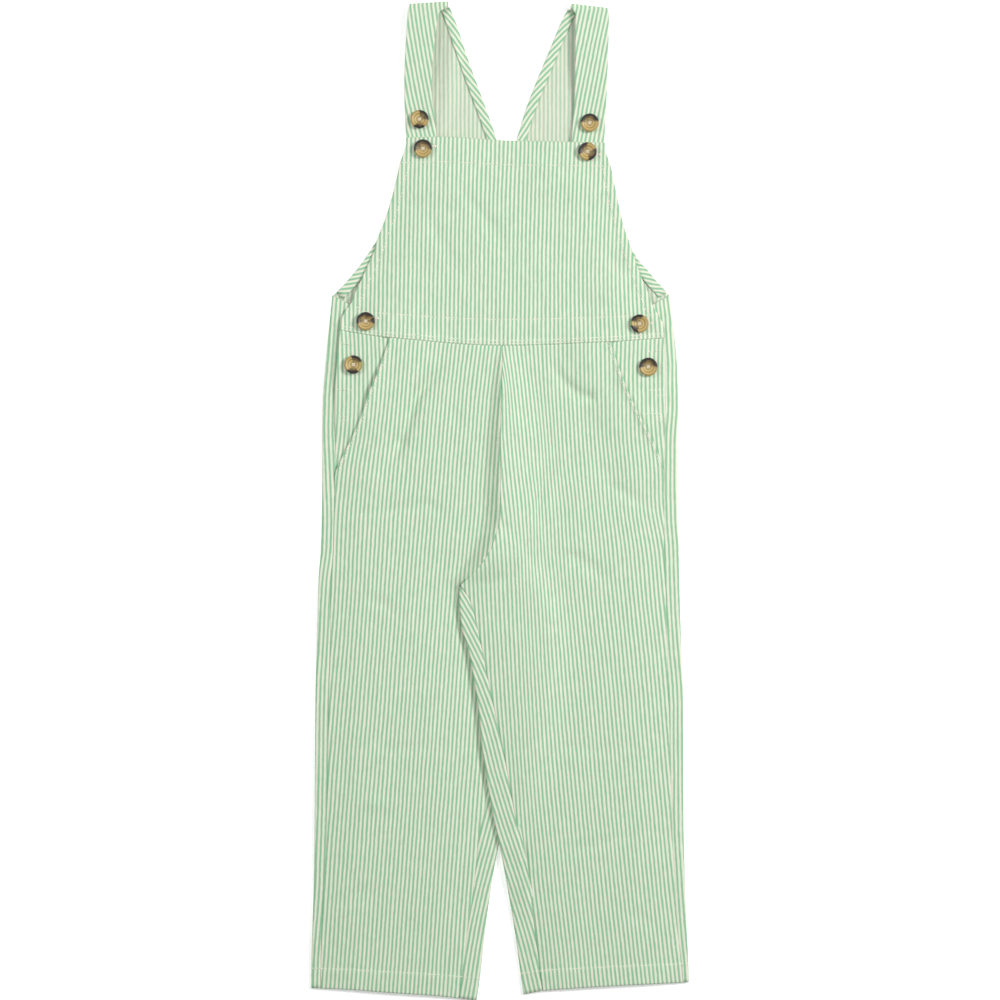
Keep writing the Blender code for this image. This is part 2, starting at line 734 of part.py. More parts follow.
def thread_holes(name, place):
    """The hidden cutter of a button's four thread holes."""
    mesh = bmesh.new()
    for quarter in range(4):
        angle = math.pi / 4 + quarter * math.pi / 2
        made = bmesh.ops.create_cone(
            mesh,
            cap_ends=True,
            segments=BUTTON_HOLE_SIDES,
            radius1=BUTTON_HOLE / 2 * MM,
            radius2=BUTTON_HOLE / 2 * MM,
            depth=3 * BUTTON_HEIGHT * MM,
        )
        centre = (BUTTON_HOLE_RING * math.cos(angle) * MM, BUTTON_HOLE_RING * math.sin(angle) * MM, 0)
        bmesh.ops.translate(mesh, verts=made["verts"], vec=centre)
    data = bpy.data.meshes.new(name)
    mesh.to_mesh(data)
    mesh.free()
    cutter = bpy.data.objects.new(name, data)
    cutters.objects.link(cutter)
    cutter.location = place
    cutter.hide_render = True
    cutter.display_type = "WIRE"
    return cutter


def button(row, finish):
    """A four-hole button: a turned disc with a raised rim and a dished middle."""
    radius = BUTTON_DIAMETER / 2
    mesh = bmesh.new()
    out, up = PROFILE_COLUMNS.index("out"), PROFILE_COLUMNS.index("up")
    ring = [mesh.verts.new((p[out] * radius * MM, 0.0, p[up] * BUTTON_HEIGHT * MM)) for p in PROFILE]
    for first, second in zip(ring, ring[1:]):
        mesh.edges.new((first, second))
    name = f"button_{row['place']}"
    data = bpy.data.meshes.new(name)
    mesh.to_mesh(data)
    mesh.free()
    data.materials.append(finish)
    piece = bpy.data.objects.new(name, data)
    garment.objects.link(piece)
    seat = button_seat(row["x"], row["y"], row["layers"])
    piece.location = (row["x"] * MM, row["y"] * MM, seat * MM)
    turn = piece.modifiers.new("Turn", "SCREW")
    turn.steps = turn.render_steps = BUTTON_STEPS
    turn.use_merge_vertices = True
    turn.merge_threshold = 0.00001
    turn.use_normal_calculate = True
    cut = piece.modifiers.new("Thread holes", "BOOLEAN")
    cut.operation = "DIFFERENCE"
    cut.object = thread_holes(f"{name}_holes", piece.location)


def material(name, colour, roughness):
    made = bpy.data.materials.new(name)
    made.use_nodes = True
    shader = made.node_tree.nodes["Principled BSDF"]
    shader.inputs["Base Color"].default_value = (*colour, 1)
    shader.inputs["Roughness"].default_value = roughness
    shader.inputs["Metallic"].default_value = 0
    return made


def twill(name):
    return material(f"{name} cotton twill", CLOTH_GREEN, CLOTH_ROUGHNESS)


def collection(name):
    made = bpy.data.collections.new(name)
    bpy.context.scene.collection.children.link(made)
    return made


for old in list(bpy.data.objects):
    bpy.data.objects.remove(old)
garment = collection("Striped dungarees")
cutters = collection("Cutters")

bib(twill("Bib"))
for side in OUTWARD:
    front_leg(side, twill(f"Front leg {side}"))
    pocket_side(side, twill(f"Pocket side {side}"))
    back_panel(side, twill(f"Back {side}"))
    neck_hem(side, twill(f"Neck hem {side}"))
    armhole_hem(side, twill(f"Armhole hem {side}"))
for row in BUTTONS:
    row = dict(zip(BUTTON_COLUMNS, row))
    button(row, material(f"Button {row['place']} polyester", TORTOISESHELL, BUTTON_ROUGHNESS))
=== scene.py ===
"""Child's striped bib trousers laid flat: the cloth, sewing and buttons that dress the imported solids.

Tables are in millimetres and meshes in metres. The garment lies on z = 0 on its back, x across it and y up
it. Left and right are as seen from the front. Each cloth is a grid of points on its middle that also says
where the point lies in the woven cloth, so that stripes and twill run with the grain: the back's cloth goes
round the side, over the inner leg and over the shoulder in one, and a turned hem carries it back mirrored.
"""

import math
from bisect import bisect_right

import bmesh
import bpy
from mathutils import Matrix, Vector, noise


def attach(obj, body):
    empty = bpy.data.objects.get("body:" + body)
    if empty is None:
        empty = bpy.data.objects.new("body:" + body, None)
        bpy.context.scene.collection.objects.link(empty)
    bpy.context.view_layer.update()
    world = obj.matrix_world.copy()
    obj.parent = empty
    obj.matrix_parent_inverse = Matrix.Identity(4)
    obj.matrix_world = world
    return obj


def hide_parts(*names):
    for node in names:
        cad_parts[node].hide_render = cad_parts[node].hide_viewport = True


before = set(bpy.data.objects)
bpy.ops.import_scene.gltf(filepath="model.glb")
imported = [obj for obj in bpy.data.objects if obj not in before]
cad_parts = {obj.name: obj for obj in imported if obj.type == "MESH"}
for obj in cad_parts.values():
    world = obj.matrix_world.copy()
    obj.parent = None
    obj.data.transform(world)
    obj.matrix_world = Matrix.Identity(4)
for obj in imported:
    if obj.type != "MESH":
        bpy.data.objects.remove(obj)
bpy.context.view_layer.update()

bl_info = {
    "name": "Striped Bib Trousers",
    "version": (1, 0, 0),
    "blender": (4, 5, 0),
    "location": "3D View > Sidebar > Bib Trousers",
    "description": "Builds a child's striped bib trousers laid flat, with sewing, buttons and a stage",
    "category": "Object",
}

MM = 0.001
BODY = "root"
TINY = 1e-6

# How the layers stack: as in the solids, from the floor up
CLOTH = 1.0
GAP = 0.3
LAYER = CLOTH + GAP
BACK_Z = CLOTH / 2
HEM_Z = BACK_Z + LAYER
FRONT_Z = HEM_Z + LAYER
LOWEST_FRONT = BACK_Z + LAYER
FOLD_RADIUS = (FRONT_Z - BACK_Z) / 2
FOLD_REACH = FOLD_RADIUS + CLOTH / 2
FOLD_ARC = math.pi * FOLD_RADIUS
FOLD_LEAN_REACH = 16.0  # how far up and down a fold its lean is taken
CROWN = 2.4  # air under a front, and how far in from the folds there is all of it
CROWN_REACH = 45.0
RIGHT_LEG_LIFT = 3 * LAYER  # where it lies on the left leg, and over what width it comes down beside it
LIFT_RAMP = 25.0
SEAM = 0.1  # from a seam's line to each cut edge
EDGE_ROLL = 0.18  # how far an edge that lies on top turns down, and over how much cloth
EDGE_REACH = 1.7
STITCH_SINK = 0.3  # how far a row of stitches draws the cloth in, and how wide
STITCH_REACH = 1.5
FELL_RISE = 0.45  # how far folded allowances lift the cloth over them
HEM_FELL = (1.4, -0.4)  # where they begin and lie in full, short of a hem's row of stitches
ROW_FELL = (1.6, 0.0)  # the same past the bib's other rows
SLANT_FELL = (3.4, 2.0)  # the same in from the slant pocket edge
TUCK = 0.85  # how far the cloth under a seam goes down, from before its line to past it
TUCK_REACH = (0.7, -0.7)
TUCK_PAST = (0.4, 0.9, 2.0, 3.2)  # where the cloth that goes on under a seam has points
WAIST_TUCK = 0.5  # share of it at the waist, where the bib's allowances lift the bib too
STRAP_LIFT = 4.0  # how far a strap stands off the back, and from what height to what it rises
STRAP_RISE = (322.0, 395.0)
SHOULDER_RADIUS = FOLD_RADIUS + STRAP_LIFT / 2
SHOULDER_REACH = SHOULDER_RADIUS + CLOTH / 2

# Heights up the garment
CROTCH_X, CROTCH_Y = -34.0, -73.0
CENTRE_END_Y = -13.5
POCKET_FOOT_Y = 25.0
PLACKET_FOOT_Y = 73.0
HIP_Y = 177.0
WAIST_Y = 137.0
BIB_TOP_Y = 309.0
HEM_LINE_Y = -419.0
STRAP_TOP_Y = 417.5
STRAP_TAIL_Y = 271.0
NECK_FOOT_Y = 282.0
NECK_HEM_FOOT_Y = 258.0

# Rows of stitches, by height or by distance in from an edge
BIB_HEM_ROW = 288.0
WAIST_ROWS = (158.0, 141.0, 138.2)
BIB_EDGE_ROW = 7.5
POCKET_ROW = 2.2
HEM_ROW = -402.0
ROW_END = 1.5  # how far short of an edge a row stops, and at the ends of the slant edge
SLANT_ROW_END = 2.0

WAIST_WARP = 70.0  # over what height a slanting waist, and a slanting top or hem, bend the rows of cloth
HEM_WARP = 60.0
HEM_WIDTH = 8.0  # of the turned hems at neck and armholes
POCKET_UNDERLAP = 14.0  # how far a hip piece goes on behind the slant edge
STAND_TOP_SLOPE = 1.95  # how much wider a button stand gets for each mm down from its top

# Where a layer rides up over what lies under it: nothing at the first value, all of it at the second
STAND_FOOT = (48.0, 66.0)
STAND_HEAD = (202.0, 180.0)
STAND_INSIDE = (62.0, 38.0)
POCKET_FOOT = (6.0, 23.0)
POCKET_INSIDE = (48.0, 22.0)
POCKET_HEAD = (165.0, 139.0)
SLANT_STEP = (0.0, 9.0)
TAIL_FOOT = (250.0, 268.0)
TAIL_INSIDE = (-42.0, -16.0)
WAIST_SEAM = (100.0, 130.0)
CROTCH_STEP = 3.0  # over what height the inner legs part
SEAM_CLIMB_SHARE = 0.92  # share of the right leg's lift that the left one takes up beside the centre seam
SEAM_CLIMB_HEIGHT = 8.0
SEAM_CLIMB_WIDTH = 20.0

# How far from its end a seam begins to be sewn and is sewn in full
SIDE_SEAM_START = (1.0, 8.0)
INSEAM_START = (1.0, 9.0)
CENTRE_SEAM_START = (0.0, 8.0)

# Spacing of the grids
STEP = 3.6
FINE_STEP = 1.2  # beside a row of stitches
EDGE_OFFSETS = (0.0, 0.7, 1.5, 2.2, 3.2, 4.6, 6.2, 7.5, 8.8)
EDGE_ROOM = 1.3  # least width of a grid, as a share of what its close columns take up
ARC_STEPS = 8
WRAP_SHARES = (0.2, 0.4, 0.6, 0.78, 0.92, 1.0)  # over the flat part of a wrap
HEM_SHARES = (0.0, 0.06, 0.14, 0.3, 0.5, 0.7, 0.86, 0.94, 1.0)  # across a turned hem
EVEN_COLUMNS = {"back": 14, "front_leg": 48, "pocket_side": 12, "bib": 60}  # between the close ones

# Heights at which a piece's grid gets a row of its own
STAND_TOP_LEVELS = tuple(HIP_Y - drop for drop in (1.0, 2.1, 5.5, 11.5))
PLACKET_FOOT_LEVELS = tuple(PLACKET_FOOT_Y - drop for drop in (0.0, 1.0, 2.0))
BACK_LEVELS = (HIP_Y, 223.0, NECK_FOOT_Y, CENTRE_END_Y, -51.5, -62.0, CROTCH_Y, -80.0, -88.0, -98.0, -115.0)
LEG_LEVELS = (70.5, 41.0, POCKET_FOOT_Y, 6.0, CENTRE_END_Y, -31.0, -42.0, -51.5, -62.0, -69.0)
LEG_LEVELS += (CROTCH_Y, -79.0, -88.0, -98.0, -115.0)
POCKET_LEVELS = (66.0, 48.0)
BIB_LEVELS = (288.0, 267.0, 249.5, 223.0, 190.0, 165.5, 156.5, 145.5)
ARMHOLE_LEVELS = (250.0, 223.0, 207.0, 192.0)
BACK_TOP_Y = 412.0  # the back's highest level row, below the shoulder's slanting one

# How far short of the pocket's foot, the neck's foot and the hip the rows of these pieces stop
POCKET_SIDE_END = 2.0
NECK_HEM_END = 2.5
ARMHOLE_HEM_END = 1.5

# Width and length of each cut of cloth, opened out where it goes round a fold
BACK_CUT = (215.0, 1020.0)
LEG_CUT = (175.0, 560.0)
POCKET_CUT = (62.0, 115.0)
BIB_CUT = (280.0, 180.0)
HEM_CUT_EASE = (2.0, 4.0)  # how much wider and longer a turned hem's cut is than the hem

OUTWARD = {"left": -1.0, "right": 1.0}

# The outline and the seams, by height
SIDE_COLUMNS = ("y", "outer_fold", "front_edge")
SIDE = {
    "left": (
        (HIP_Y, -144.0, -124.0),
        (165.5, -145.2, -127.4),
        (156.5, -146.2, -132.6),
        (145.5, -147.3, -136.0),
        (118.0, -150.0, -139.0),
        (90.5, -152.2, -141.4),
        (57.5, -153.0, -141.6),
        (30.0, -152.8, -141.3),
        (4.5, -152.9, -142.4),
        (-41.0, -154.0, -143.3),
        (-69.0, -156.0, -145.2),
        (-120.5, -157.4, -146.0),
        (-165.0, -158.6, -147.0),
        (-275.0, -159.4, -149.0),
        (-340.5, -160.4, -152.0),
        (-401.5, -162.3, -154.0),
        (-430.0, -162.6, -153.6),
    ),
    "right": (
        (HIP_Y, 145.8, 126.8),
        (165.5, 147.2, 131.0),
        (156.5, 148.4, 136.2),
        (145.5, 149.5, 140.8),
        (112.5, 152.5, 141.3),
        (79.5, 153.4, 141.5),
        (51.5, 152.8, 141.0),
        (26.5, 152.8, 140.6),
        (-14.0, 153.0, 141.0),
        (-41.0, 154.0, 140.6),
        (-85.0, 154.7, 142.4),
        (-120.5, 155.8, 143.0),
        (-180.0, 157.7, 145.0),
        (-275.0, 157.9, 147.5),
        (-323.5, 159.0, 149.5),
        (-373.0, 160.8, 152.6),
        (-401.5, 162.0, 156.0),
        (-430.0, 162.6, 157.2),
    ),
}

INNER_COLUMNS = ("y", "inseam", "inner_fold")
INNER = {
    "left": (
        (CROTCH_Y, -36.0, -34.4),
        (-85.0, -26.0, -14.0),
        (-98.0, -8.0, 8.0),
        (-115.0, 6.0, 22.0),
        (-140.0, 9.0, 24.0),
        (-172.0, 4.0, 19.5),
        (-214.0, -2.0, 15.5),
        (-258.0, -11.0, 7.5),
        (-286.5, -17.5, 1.5),
        (-303.0, -19.5, -2.4),
        (-346.5, -24.5, -9.5),
        (-379.0, -29.5, -13.9),
        (-410.0, -34.0, -18.4),
        (-430.0, -36.5, -22.0),
    ),
    "right": (
        (CROTCH_Y, -33.4, -35.0),
        (-87.0, -25.5, -35.0),
        (-109.0, -19.5, -33.0),
        (-130.5, -15.0, -26.8),
        (-157.5, -9.5, -22.0),
        (-184.0, -4.0, -18.0),
        (-210.5, 2.0, -15.8),
        (-243.5, 8.0, -10.8),
        (-268.5, 12.5, -6.5),
        (-297.0, 17.5, -0.3),
        (-314.0, 20.6, 3.0),
        (-340.0, 25.2, 7.5),
        (-373.0, 30.5, 13.0),
        (-404.0, 34.5, 17.7),
        (-430.0, 38.5, 21.5),
    ),
}

STAND_COLUMNS = ("y", "edge")
STAND = {
    "left": ((HIP_Y, -100.0), (145.0, -102.0), (116.0, -111.0), (93.0, -118.0), (PLACKET_FOOT_Y, -123.0)),
    "right": ((HIP_Y, 104.0), (145.0, 106.0), (114.0, 114.0), (93.0, 120.0), (PLACKET_FOOT_Y, 125.0)),
}

ARMHOLE_COLUMNS = ("y", "x")
ARMHOLE = {
    "left": (
        (427.0, -77.6),
        (380.0, -75.0),
        (312.0, -71.0),
        (280.0, -75.0),
        (250.0, -87.5),
        (223.0, -106.0),
        (211.0, -113.6),
        (199.5, -121.9),
        (189.5, -130.2),
        (183.0, -136.0),
        (HIP_Y, -142.2),
    ),
    "right": (
        (427.0, 93.0),
        (380.0, 88.0),
        (312.0, 82.0),
        (280.0, 85.5),
        (250.0, 97.0),
        (218.0, 112.2),
        (207.5, 118.3),
        (198.0, 126.6),
        (188.0, 134.8),
        (181.0, 141.4),
        (HIP_Y, 144.0),
    ),
}
NECK_COLUMNS = ("y", "x")
NECK = {
    "left": (
        (427.0, -44.5),
        (418.0, -40.6),
        (387.0, -30.3),
        (335.5, -11.6),
        (318.5, -5.6),
        (NECK_FOOT_Y, 6.0),
    ),
    "right": (
        (427.0, 61.0),
        (418.0, 56.0),
        (387.0, 42.8),
        (335.5, 22.2),
        (318.5, 17.0),
        (NECK_FOOT_Y, 6.0),
    ),
}
SHOULDER = {"left": (426.2, 428.2), "right": (422.6, 426.4)}  # height at the armhole and at the neck

STRAP_COLUMNS = ("y", "outer", "inner")
STRAP = {
    "left": (
        (430.0, -77.8, -46.0),
        (422.0, -78.6, -51.8),
        (352.5, -82.0, -58.6),
        (312.0, -80.6, -54.6),
        (STRAP_TAIL_Y, -78.0, -52.0),
    ),
    "right": (
        (430.0, 93.4, 62.0),
        (422.0, 93.4, 64.6),
        (352.5, 91.7, 64.2),
        (309.0, 89.6, 61.4),
        (STRAP_TAIL_Y, 87.0, 59.0),
    ),
}

BIB_COLUMNS = ("y", "left", "right")
BIB = (
    (312.0, -80.5, 89.8),
    (304.0, -80.3, 90.3),
    (288.0, -85.4, 95.0),
    (267.0, -90.5, 99.1),
    (249.5, -95.6, 102.8),
    (233.0, -101.4, 106.8),
    (223.0, -105.6, 110.4),
    (213.0, -108.0, 113.3),
    (203.5, -112.4, 116.7),
    (190.0, -118.4, 121.7),
    (175.5, -124.5, 127.6),
    (165.5, -127.4, 131.0),
    (156.5, -132.6, 136.2),
    (145.5, -136.0, 140.8),
    (134.0, -137.2, 141.0),
)

BIB_TOP_COLUMNS = ("x", "y")
BIB_TOP = ((-80.5, 311.0), (-53.5, 311.5), (-3.5, 309.0), (16.0, 308.2), (90.0, 306.6))
WAIST_COLUMNS = ("x", "y")
WAIST = ((-137.0, 145.5), (-107.0, 140.5), (-94.0, 139.0), (2.0, 132.5), (94.5, 135.5), (141.0, 138.8))
HEM_COLUMNS = ("x", "y")
HEM = {
    "left": ((-162.0, -419.0), (-130.0, -419.8), (-95.0, -422.4), (-58.0, -424.8), (-22.0, -429.5)),
    "right": ((21.0, -424.3), (42.0, -420.5), (62.0, -418.8), (124.0, -415.3), (162.0, -414.0)),
}

CENTRE_COLUMNS = ("y", "front", "back")
CENTRE = (
    (NECK_FOOT_Y, 6.0, 6.0),
    (132.5, 2.0, 2.0),
    (60.0, 0.5, 0.8),
    (CENTRE_END_Y, 0.0, 1.0),
    (-31.0, -4.2, -1.2),
    (-42.0, -8.0, -4.8),
    (-51.5, -13.5, -10.0),
    (-62.0, -22.5, -19.0),
    (-69.0, -30.0, -27.5),
    (CROTCH_Y, CROTCH_X, CROTCH_X),
)

POCKET_COLUMNS = ("y", "edge")
POCKET = {
    "left": ((139.5, -93.5), (101.5, -107.0), (92.0, -111.6), (70.5, -119.3), (41.5, -133.0), (25.0, -140.8)),
    "right": ((136.0, 94.5), (105.0, 105.0), (90.5, 110.6), (60.0, 126.0), (45.0, 133.4), (25.0, 140.6)),
}

LIFT_COLUMNS = ("y", "edge")
LIFT = (
    (CENTRE_END_Y, 6.0),
    (-50.0, 14.0),
    (CROTCH_Y, 26.0),
    (-98.0, 36.0),
    (-140.0, 40.0),
    (-172.0, 35.0),
    (-214.0, 29.0),
    (-253.0, 18.0),
    (-286.5, 6.0),
    (-303.0, -1.5),
    (-346.5, -9.0),
    (-430.0, -22.0),
)

# The right front stands up along the centre seam: how high, and how far to the left the cloth climbs to it
CLIFF_COLUMNS = ("y", "rise", "reach")
CLIFF = (
    (135.0, 0.5, 4.0),
    (122.0, 3.0, 6.5),
    (105.0, 4.6, 8.5),
    (86.0, 5.8, 10.0),
    (50.0, 7.8, 13.0),
    (CENTRE_END_Y, 8.8, 15.0),
    (-46.0, 7.6, 15.0),
    (-62.0, 4.8, 13.0),
    (-72.0, 2.0, 10.0),
    (-84.0, 0.0, 8.0),
)
CLIFF_BACK = 3.4  # how much further it takes to go down again on the right
CLIFF_BEND = 1.3  # how much steeper it gets towards the seam: 1 for a straight slope

# Folds in the cloth of each panel, end to end: wide and soft ones first, then the narrow creases on them.
# Each point is x, y, how far the fold reaches to each side, and how far it rises. A trough's rise is below 0.
CREASES = {
    "leg_left": {
        "hip, wide": ((-44, 104, 14, 0), (-60, 78, 16, 1.0), (-72, 48, 15, 0.8), (-82, 20, 12, 0)),
        "hip": (
            (-47, 114, 5, -0.6),
            (-60, 103, 7, -2.8),
            (-71, 91, 8, -3.8),
            (-79, 69, 8, -3.8),
            (-86, 49, 8, -3.0),
        ),
        "hip, foot": ((-86, 49, 8, -3.0), (-93, 35, 8, -2.0), (-104, 24, 7, -1.4), (-120, 18, 6, 0)),
        "across": (
            (-138, -10, 5, 0),
            (-103, -9, 6, -1.0),
            (-76, -7, 6.5, -1.5),
            (-62, -4, 6.5, -1.9),
            (-43, -13, 5, 0),
        ),
        "by the fold": (
            (-37, -74, 5, 0),
            (-36, -92, 8, -1.7),
            (-28, -130, 8.5, -1.9),
            (-19.5, -180, 8.5, -1.9),
        ),
        "by the fold, foot": (
            (-19.5, -180, 8.5, -1.9),
            (-14.5, -225, 8, -1.7),
            (-6, -272, 7, -1.2),
            (-2, -295, 5, 0),
        ),
        "thigh": ((-38, 84, 6, 0), (-38, 70, 8, -1.0), (-36, 54, 6, 0)),
        "knee": ((-122, -82, 6, 0), (-102, -88, 8, -1.2), (-80, -101, 6, 0)),
        "knee, inside": ((-74, -150, 6, 0), (-56, -145, 9, -0.8), (-38, -138, 6, 0)),
        "shin": ((-112, -208, 6, 0), (-90, -214, 8, -0.6), (-48, -210, 7, -0.5), (-34, -214, 5, 0)),
        "shin, foot": ((-134, -262, 7, 0), (-108, -259, 9, 1.0), (-80, -262, 7, 0)),
        "hem": ((-140, -352, 7, 0), (-118, -334, 9, -1.0), (-100, -330, 7, 0)),
    },
    "leg_right": {
        "wide": ((44, 30, 14, 0), (36, -14, 20, 0.9), (26, -60, 18, 0.8), (24, -110, 14, 0)),
        "thigh": ((50, 34, 4, 0), (43, 24, 6, -1.4), (36, 12, 6.5, -2.0), (34, 1, 6, -1.4)),
        "thigh, foot": ((34, 1, 6, -1.4), (31, -9, 6.5, -2.2), (35, -18, 6, -1.6), (42, -26, 5, 0)),
        "tail": ((42, -20, 4, 0), (51, -19, 5.5, -1.3), (58, -14, 5.5, -1.2), (66, -12, 4, 0)),
        "knee": ((22, -30, 5, 0), (24, -50, 7, -1.4), (24, -88, 5, 0)),
        "notch": ((2, -18, 4, 0), (5, -24, 5, -1.5), (11, -34, 4, 0)),
        "hip": (
            (45, 125, 6, 0),
            (49, 112, 7, -1.8),
            (56, 101, 8, -2.4),
            (66, 92, 8, -2.2),
            (78, 87.5, 7, -1.8),
        ),
        "hip, middle": ((78, 87.5, 7, -1.8), (86, 90, 6, -1.0)),
        "hip, end": ((86, 90, 6, -1.0), (96, 97, 7, -1.5), (106, 100, 5, 0)),
        "side": ((82, 18, 5, 0), (92, 13, 7, -1.4), (107, 6, 7.5, -1.7), (121, -2, 7, -1.4), (138, -8, 5, 0)),
        "side, upper": ((74, 34, 5, 0), (88, 25, 7, -1.1), (106, 20, 5, 0)),
        "above the knee": (
            (50, -45, 4, 0),
            (64, -49, 7, -1.6),
            (79, -58, 8, -1.8),
            (88, -65, 8, -1.3),
            (98, -70, 5, 0),
        ),
        "knee, middle": ((33, -106, 4, 0), (45, -108, 6, -1.1), (58, -112, 4, 0)),
        "shin": ((44, -206, 6, 0), (70, -214, 9, -0.6), (100, -212, 8, -0.5), (118, -208, 6, 0)),
        "shin, foot": ((48, -304, 6, 0), (76, -297, 8, -1.0), (120, -286, 6, 0)),
        "hem": ((104, -350, 7, 0), (118, -358, 9, -0.9), (134, -366, 7, 0)),
    },
    "bib": {
        "band, right": ((60, 168, 3, 0), (76, 168, 3.5, -0.8), (88, 167, 3.5, -0.8), (100, 166, 3, 0)),
        "band, middle": ((20, 150, 3, 0), (60, 149, 3.5, -0.7), (86, 148, 3.5, -0.7), (104, 149, 3, 0)),
        "band, left": ((-92, 150, 3, 0), (-74, 152, 3.5, -0.7), (-46, 152, 3, 0)),
        "edge, left": ((-130, 162, 6, 0), (-133, 150, 7, 1.5), (-136.5, 138, 7, 2.0)),
        "edge, right": ((134, 158, 6, 0), (138, 148, 7, 0.6), (140.5, 138, 7, 0.9)),
        "left": ((-40, 276, 7, 0), (-26, 257, 9, -1.3), (-5, 232, 9, -1.3), (6, 210, 7, 0)),
        "left, low": ((-64, 252, 7, 0), (-54, 230, 9, -1.1), (-42, 206, 8, -0.8), (-26, 186, 7, 0)),
        "right": ((78, 262, 7, 0), (58, 246, 9, -1.0), (40, 226, 8, -0.7), (32, 214, 7, 0)),
        "right, low": ((88, 222, 7, 0), (64, 202, 9, -1.1), (44, 180, 7, 0)),
        "armhole": ((88, 218, 7, 0), (98, 206, 12, -1.5), (108, 194, 7, 0)),
        "dimple": ((30, 277, 4, 0), (37, 275, 6, -1.1), (46, 273, 4, 0)),
    },
    "pocket_left": {
        "edge": ((-137.5, 137, 7, 2.0), (-139.5, 116, 7, 2.3), (-141, 100, 7, 1.8), (-141.5, 78, 5, 0)),
        "gape": ((-101, 116, 6, 0), (-107, 101, 9, -1.2), (-112, 90, 8, -1.0), (-117, 78, 5, 0)),
        "button": ((-116, 122, 4, 0), (-108, 119, 5, -0.6), (-102, 112, 4, 0)),
        "under the button": ((-136, 102, 4, 0), (-124, 102, 5, -0.5), (-112, 106, 4, 0)),
    },
    "pocket_right": {
        "edge": ((140.5, 137, 7, 0.6), (141.5, 110, 7, 0.6), (141, 90, 5, 0)),
        "button": ((106, 112, 4, 0), (110, 120, 5, -1.2), (120, 125, 5, -0.8), (128, 126, 4, 0)),
        "under the button": ((108, 100, 4, 0), (120, 94, 5, -1.1), (134, 92, 4, 0)),
        "foot": ((112, 88, 4, 0), (124, 82, 5, -0.7), (136, 80, 4, 0)),
    },
    "slant_left": {
        "gape": (
            (-95, 132, 5, 0),
            (-101, 116, 8, 0.6),
            (-106, 106, 9, 2.0),
            (-111, 93, 9, 2.2),
            (-118, 74, 8, 0.5),
        ),
        "foot": ((-118, 74, 8, 0.5), (-127, 54, 7, 0.3), (-136, 34, 5, 0)),
    },
    "slant_right": {
        "gape": ((97, 128, 5, 0), (105, 104, 8, 1.1), (117, 78, 8, 1.2), (128, 56, 7, 1.1), (137, 36, 5, 0)),
    },
    "strap_left": {
        "shoulder": ((-80, 399, 4, -0.3), (-70, 398, 5, -0.6), (-56, 395, 4, -0.3)),
        "upper": ((-80, 389, 4, -0.2), (-68, 390, 5, -0.6), (-56, 387, 4, 0)),
        "middle": ((-80, 360, 5, 0), (-70, 362, 6, -0.5), (-60, 366, 5, 0)),
    },
    "strap_right": {
        "shoulder": ((64, 402, 4, -0.3), (76, 404, 5, -0.5), (92, 405, 4, 0)),
        "middle": ((64, 352, 5, 0), (76, 349, 6, -0.4), (88, 348, 5, 0)),
    },
    "back_left": {
        "shoulder": (
            (-41, 409, 9, 0),
            (-40, 396, 13, 3.4),
            (-42, 372, 13, 3.2),
            (-46, 345, 9, 2.0),
            (-49, 316, 6, 0.6),
        ),
        "seat": ((-132, 96, 8, 0), (-108, 84, 12, 0.8), (-84, 60, 10, 0.6), (-70, 36, 7, 0)),
        "under the seat": ((-122, -20, 7, 0), (-90, -30, 10, 0.8), (-52, -26, 8, 0)),
        "knee": ((-132, -132, 7, 0), (-96, -140, 10, 0.7), (-58, -132, 8, 0)),
        "shin": ((-120, -268, 7, 0), (-88, -262, 9, 0.6), (-56, -270, 7, 0)),
        "waist": ((-110, 190, 7, 0), (-76, 176, 10, 0.7), (-40, 182, 7, 0)),
    },
    "back_right": {
        "seat": ((126, 104, 8, 0), (104, 80, 11, 0.7), (80, 66, 10, 0.7), (58, 62, 7, 0)),
        "under the seat": ((118, -6, 7, 0), (88, -22, 10, 0.8), (60, -24, 8, 0)),
        "knee": ((136, -150, 7, 0), (100, -146, 10, 0.6), (62, -156, 8, 0)),
        "shin": ((116, -284, 7, 0), (92, -292, 9, 0.6), (64, -288, 7, 0)),
        "waist": ((112, 178, 7, 0), (72, 188, 10, 0.6), (36, 176, 7, 0)),
    },
}
# Low unevenness that all laid cloth has, and how far apart it lies
RUFFLE = 0.12
RUFFLE_WIDTH = 13.0
RUFFLE_LENGTH = 26.0

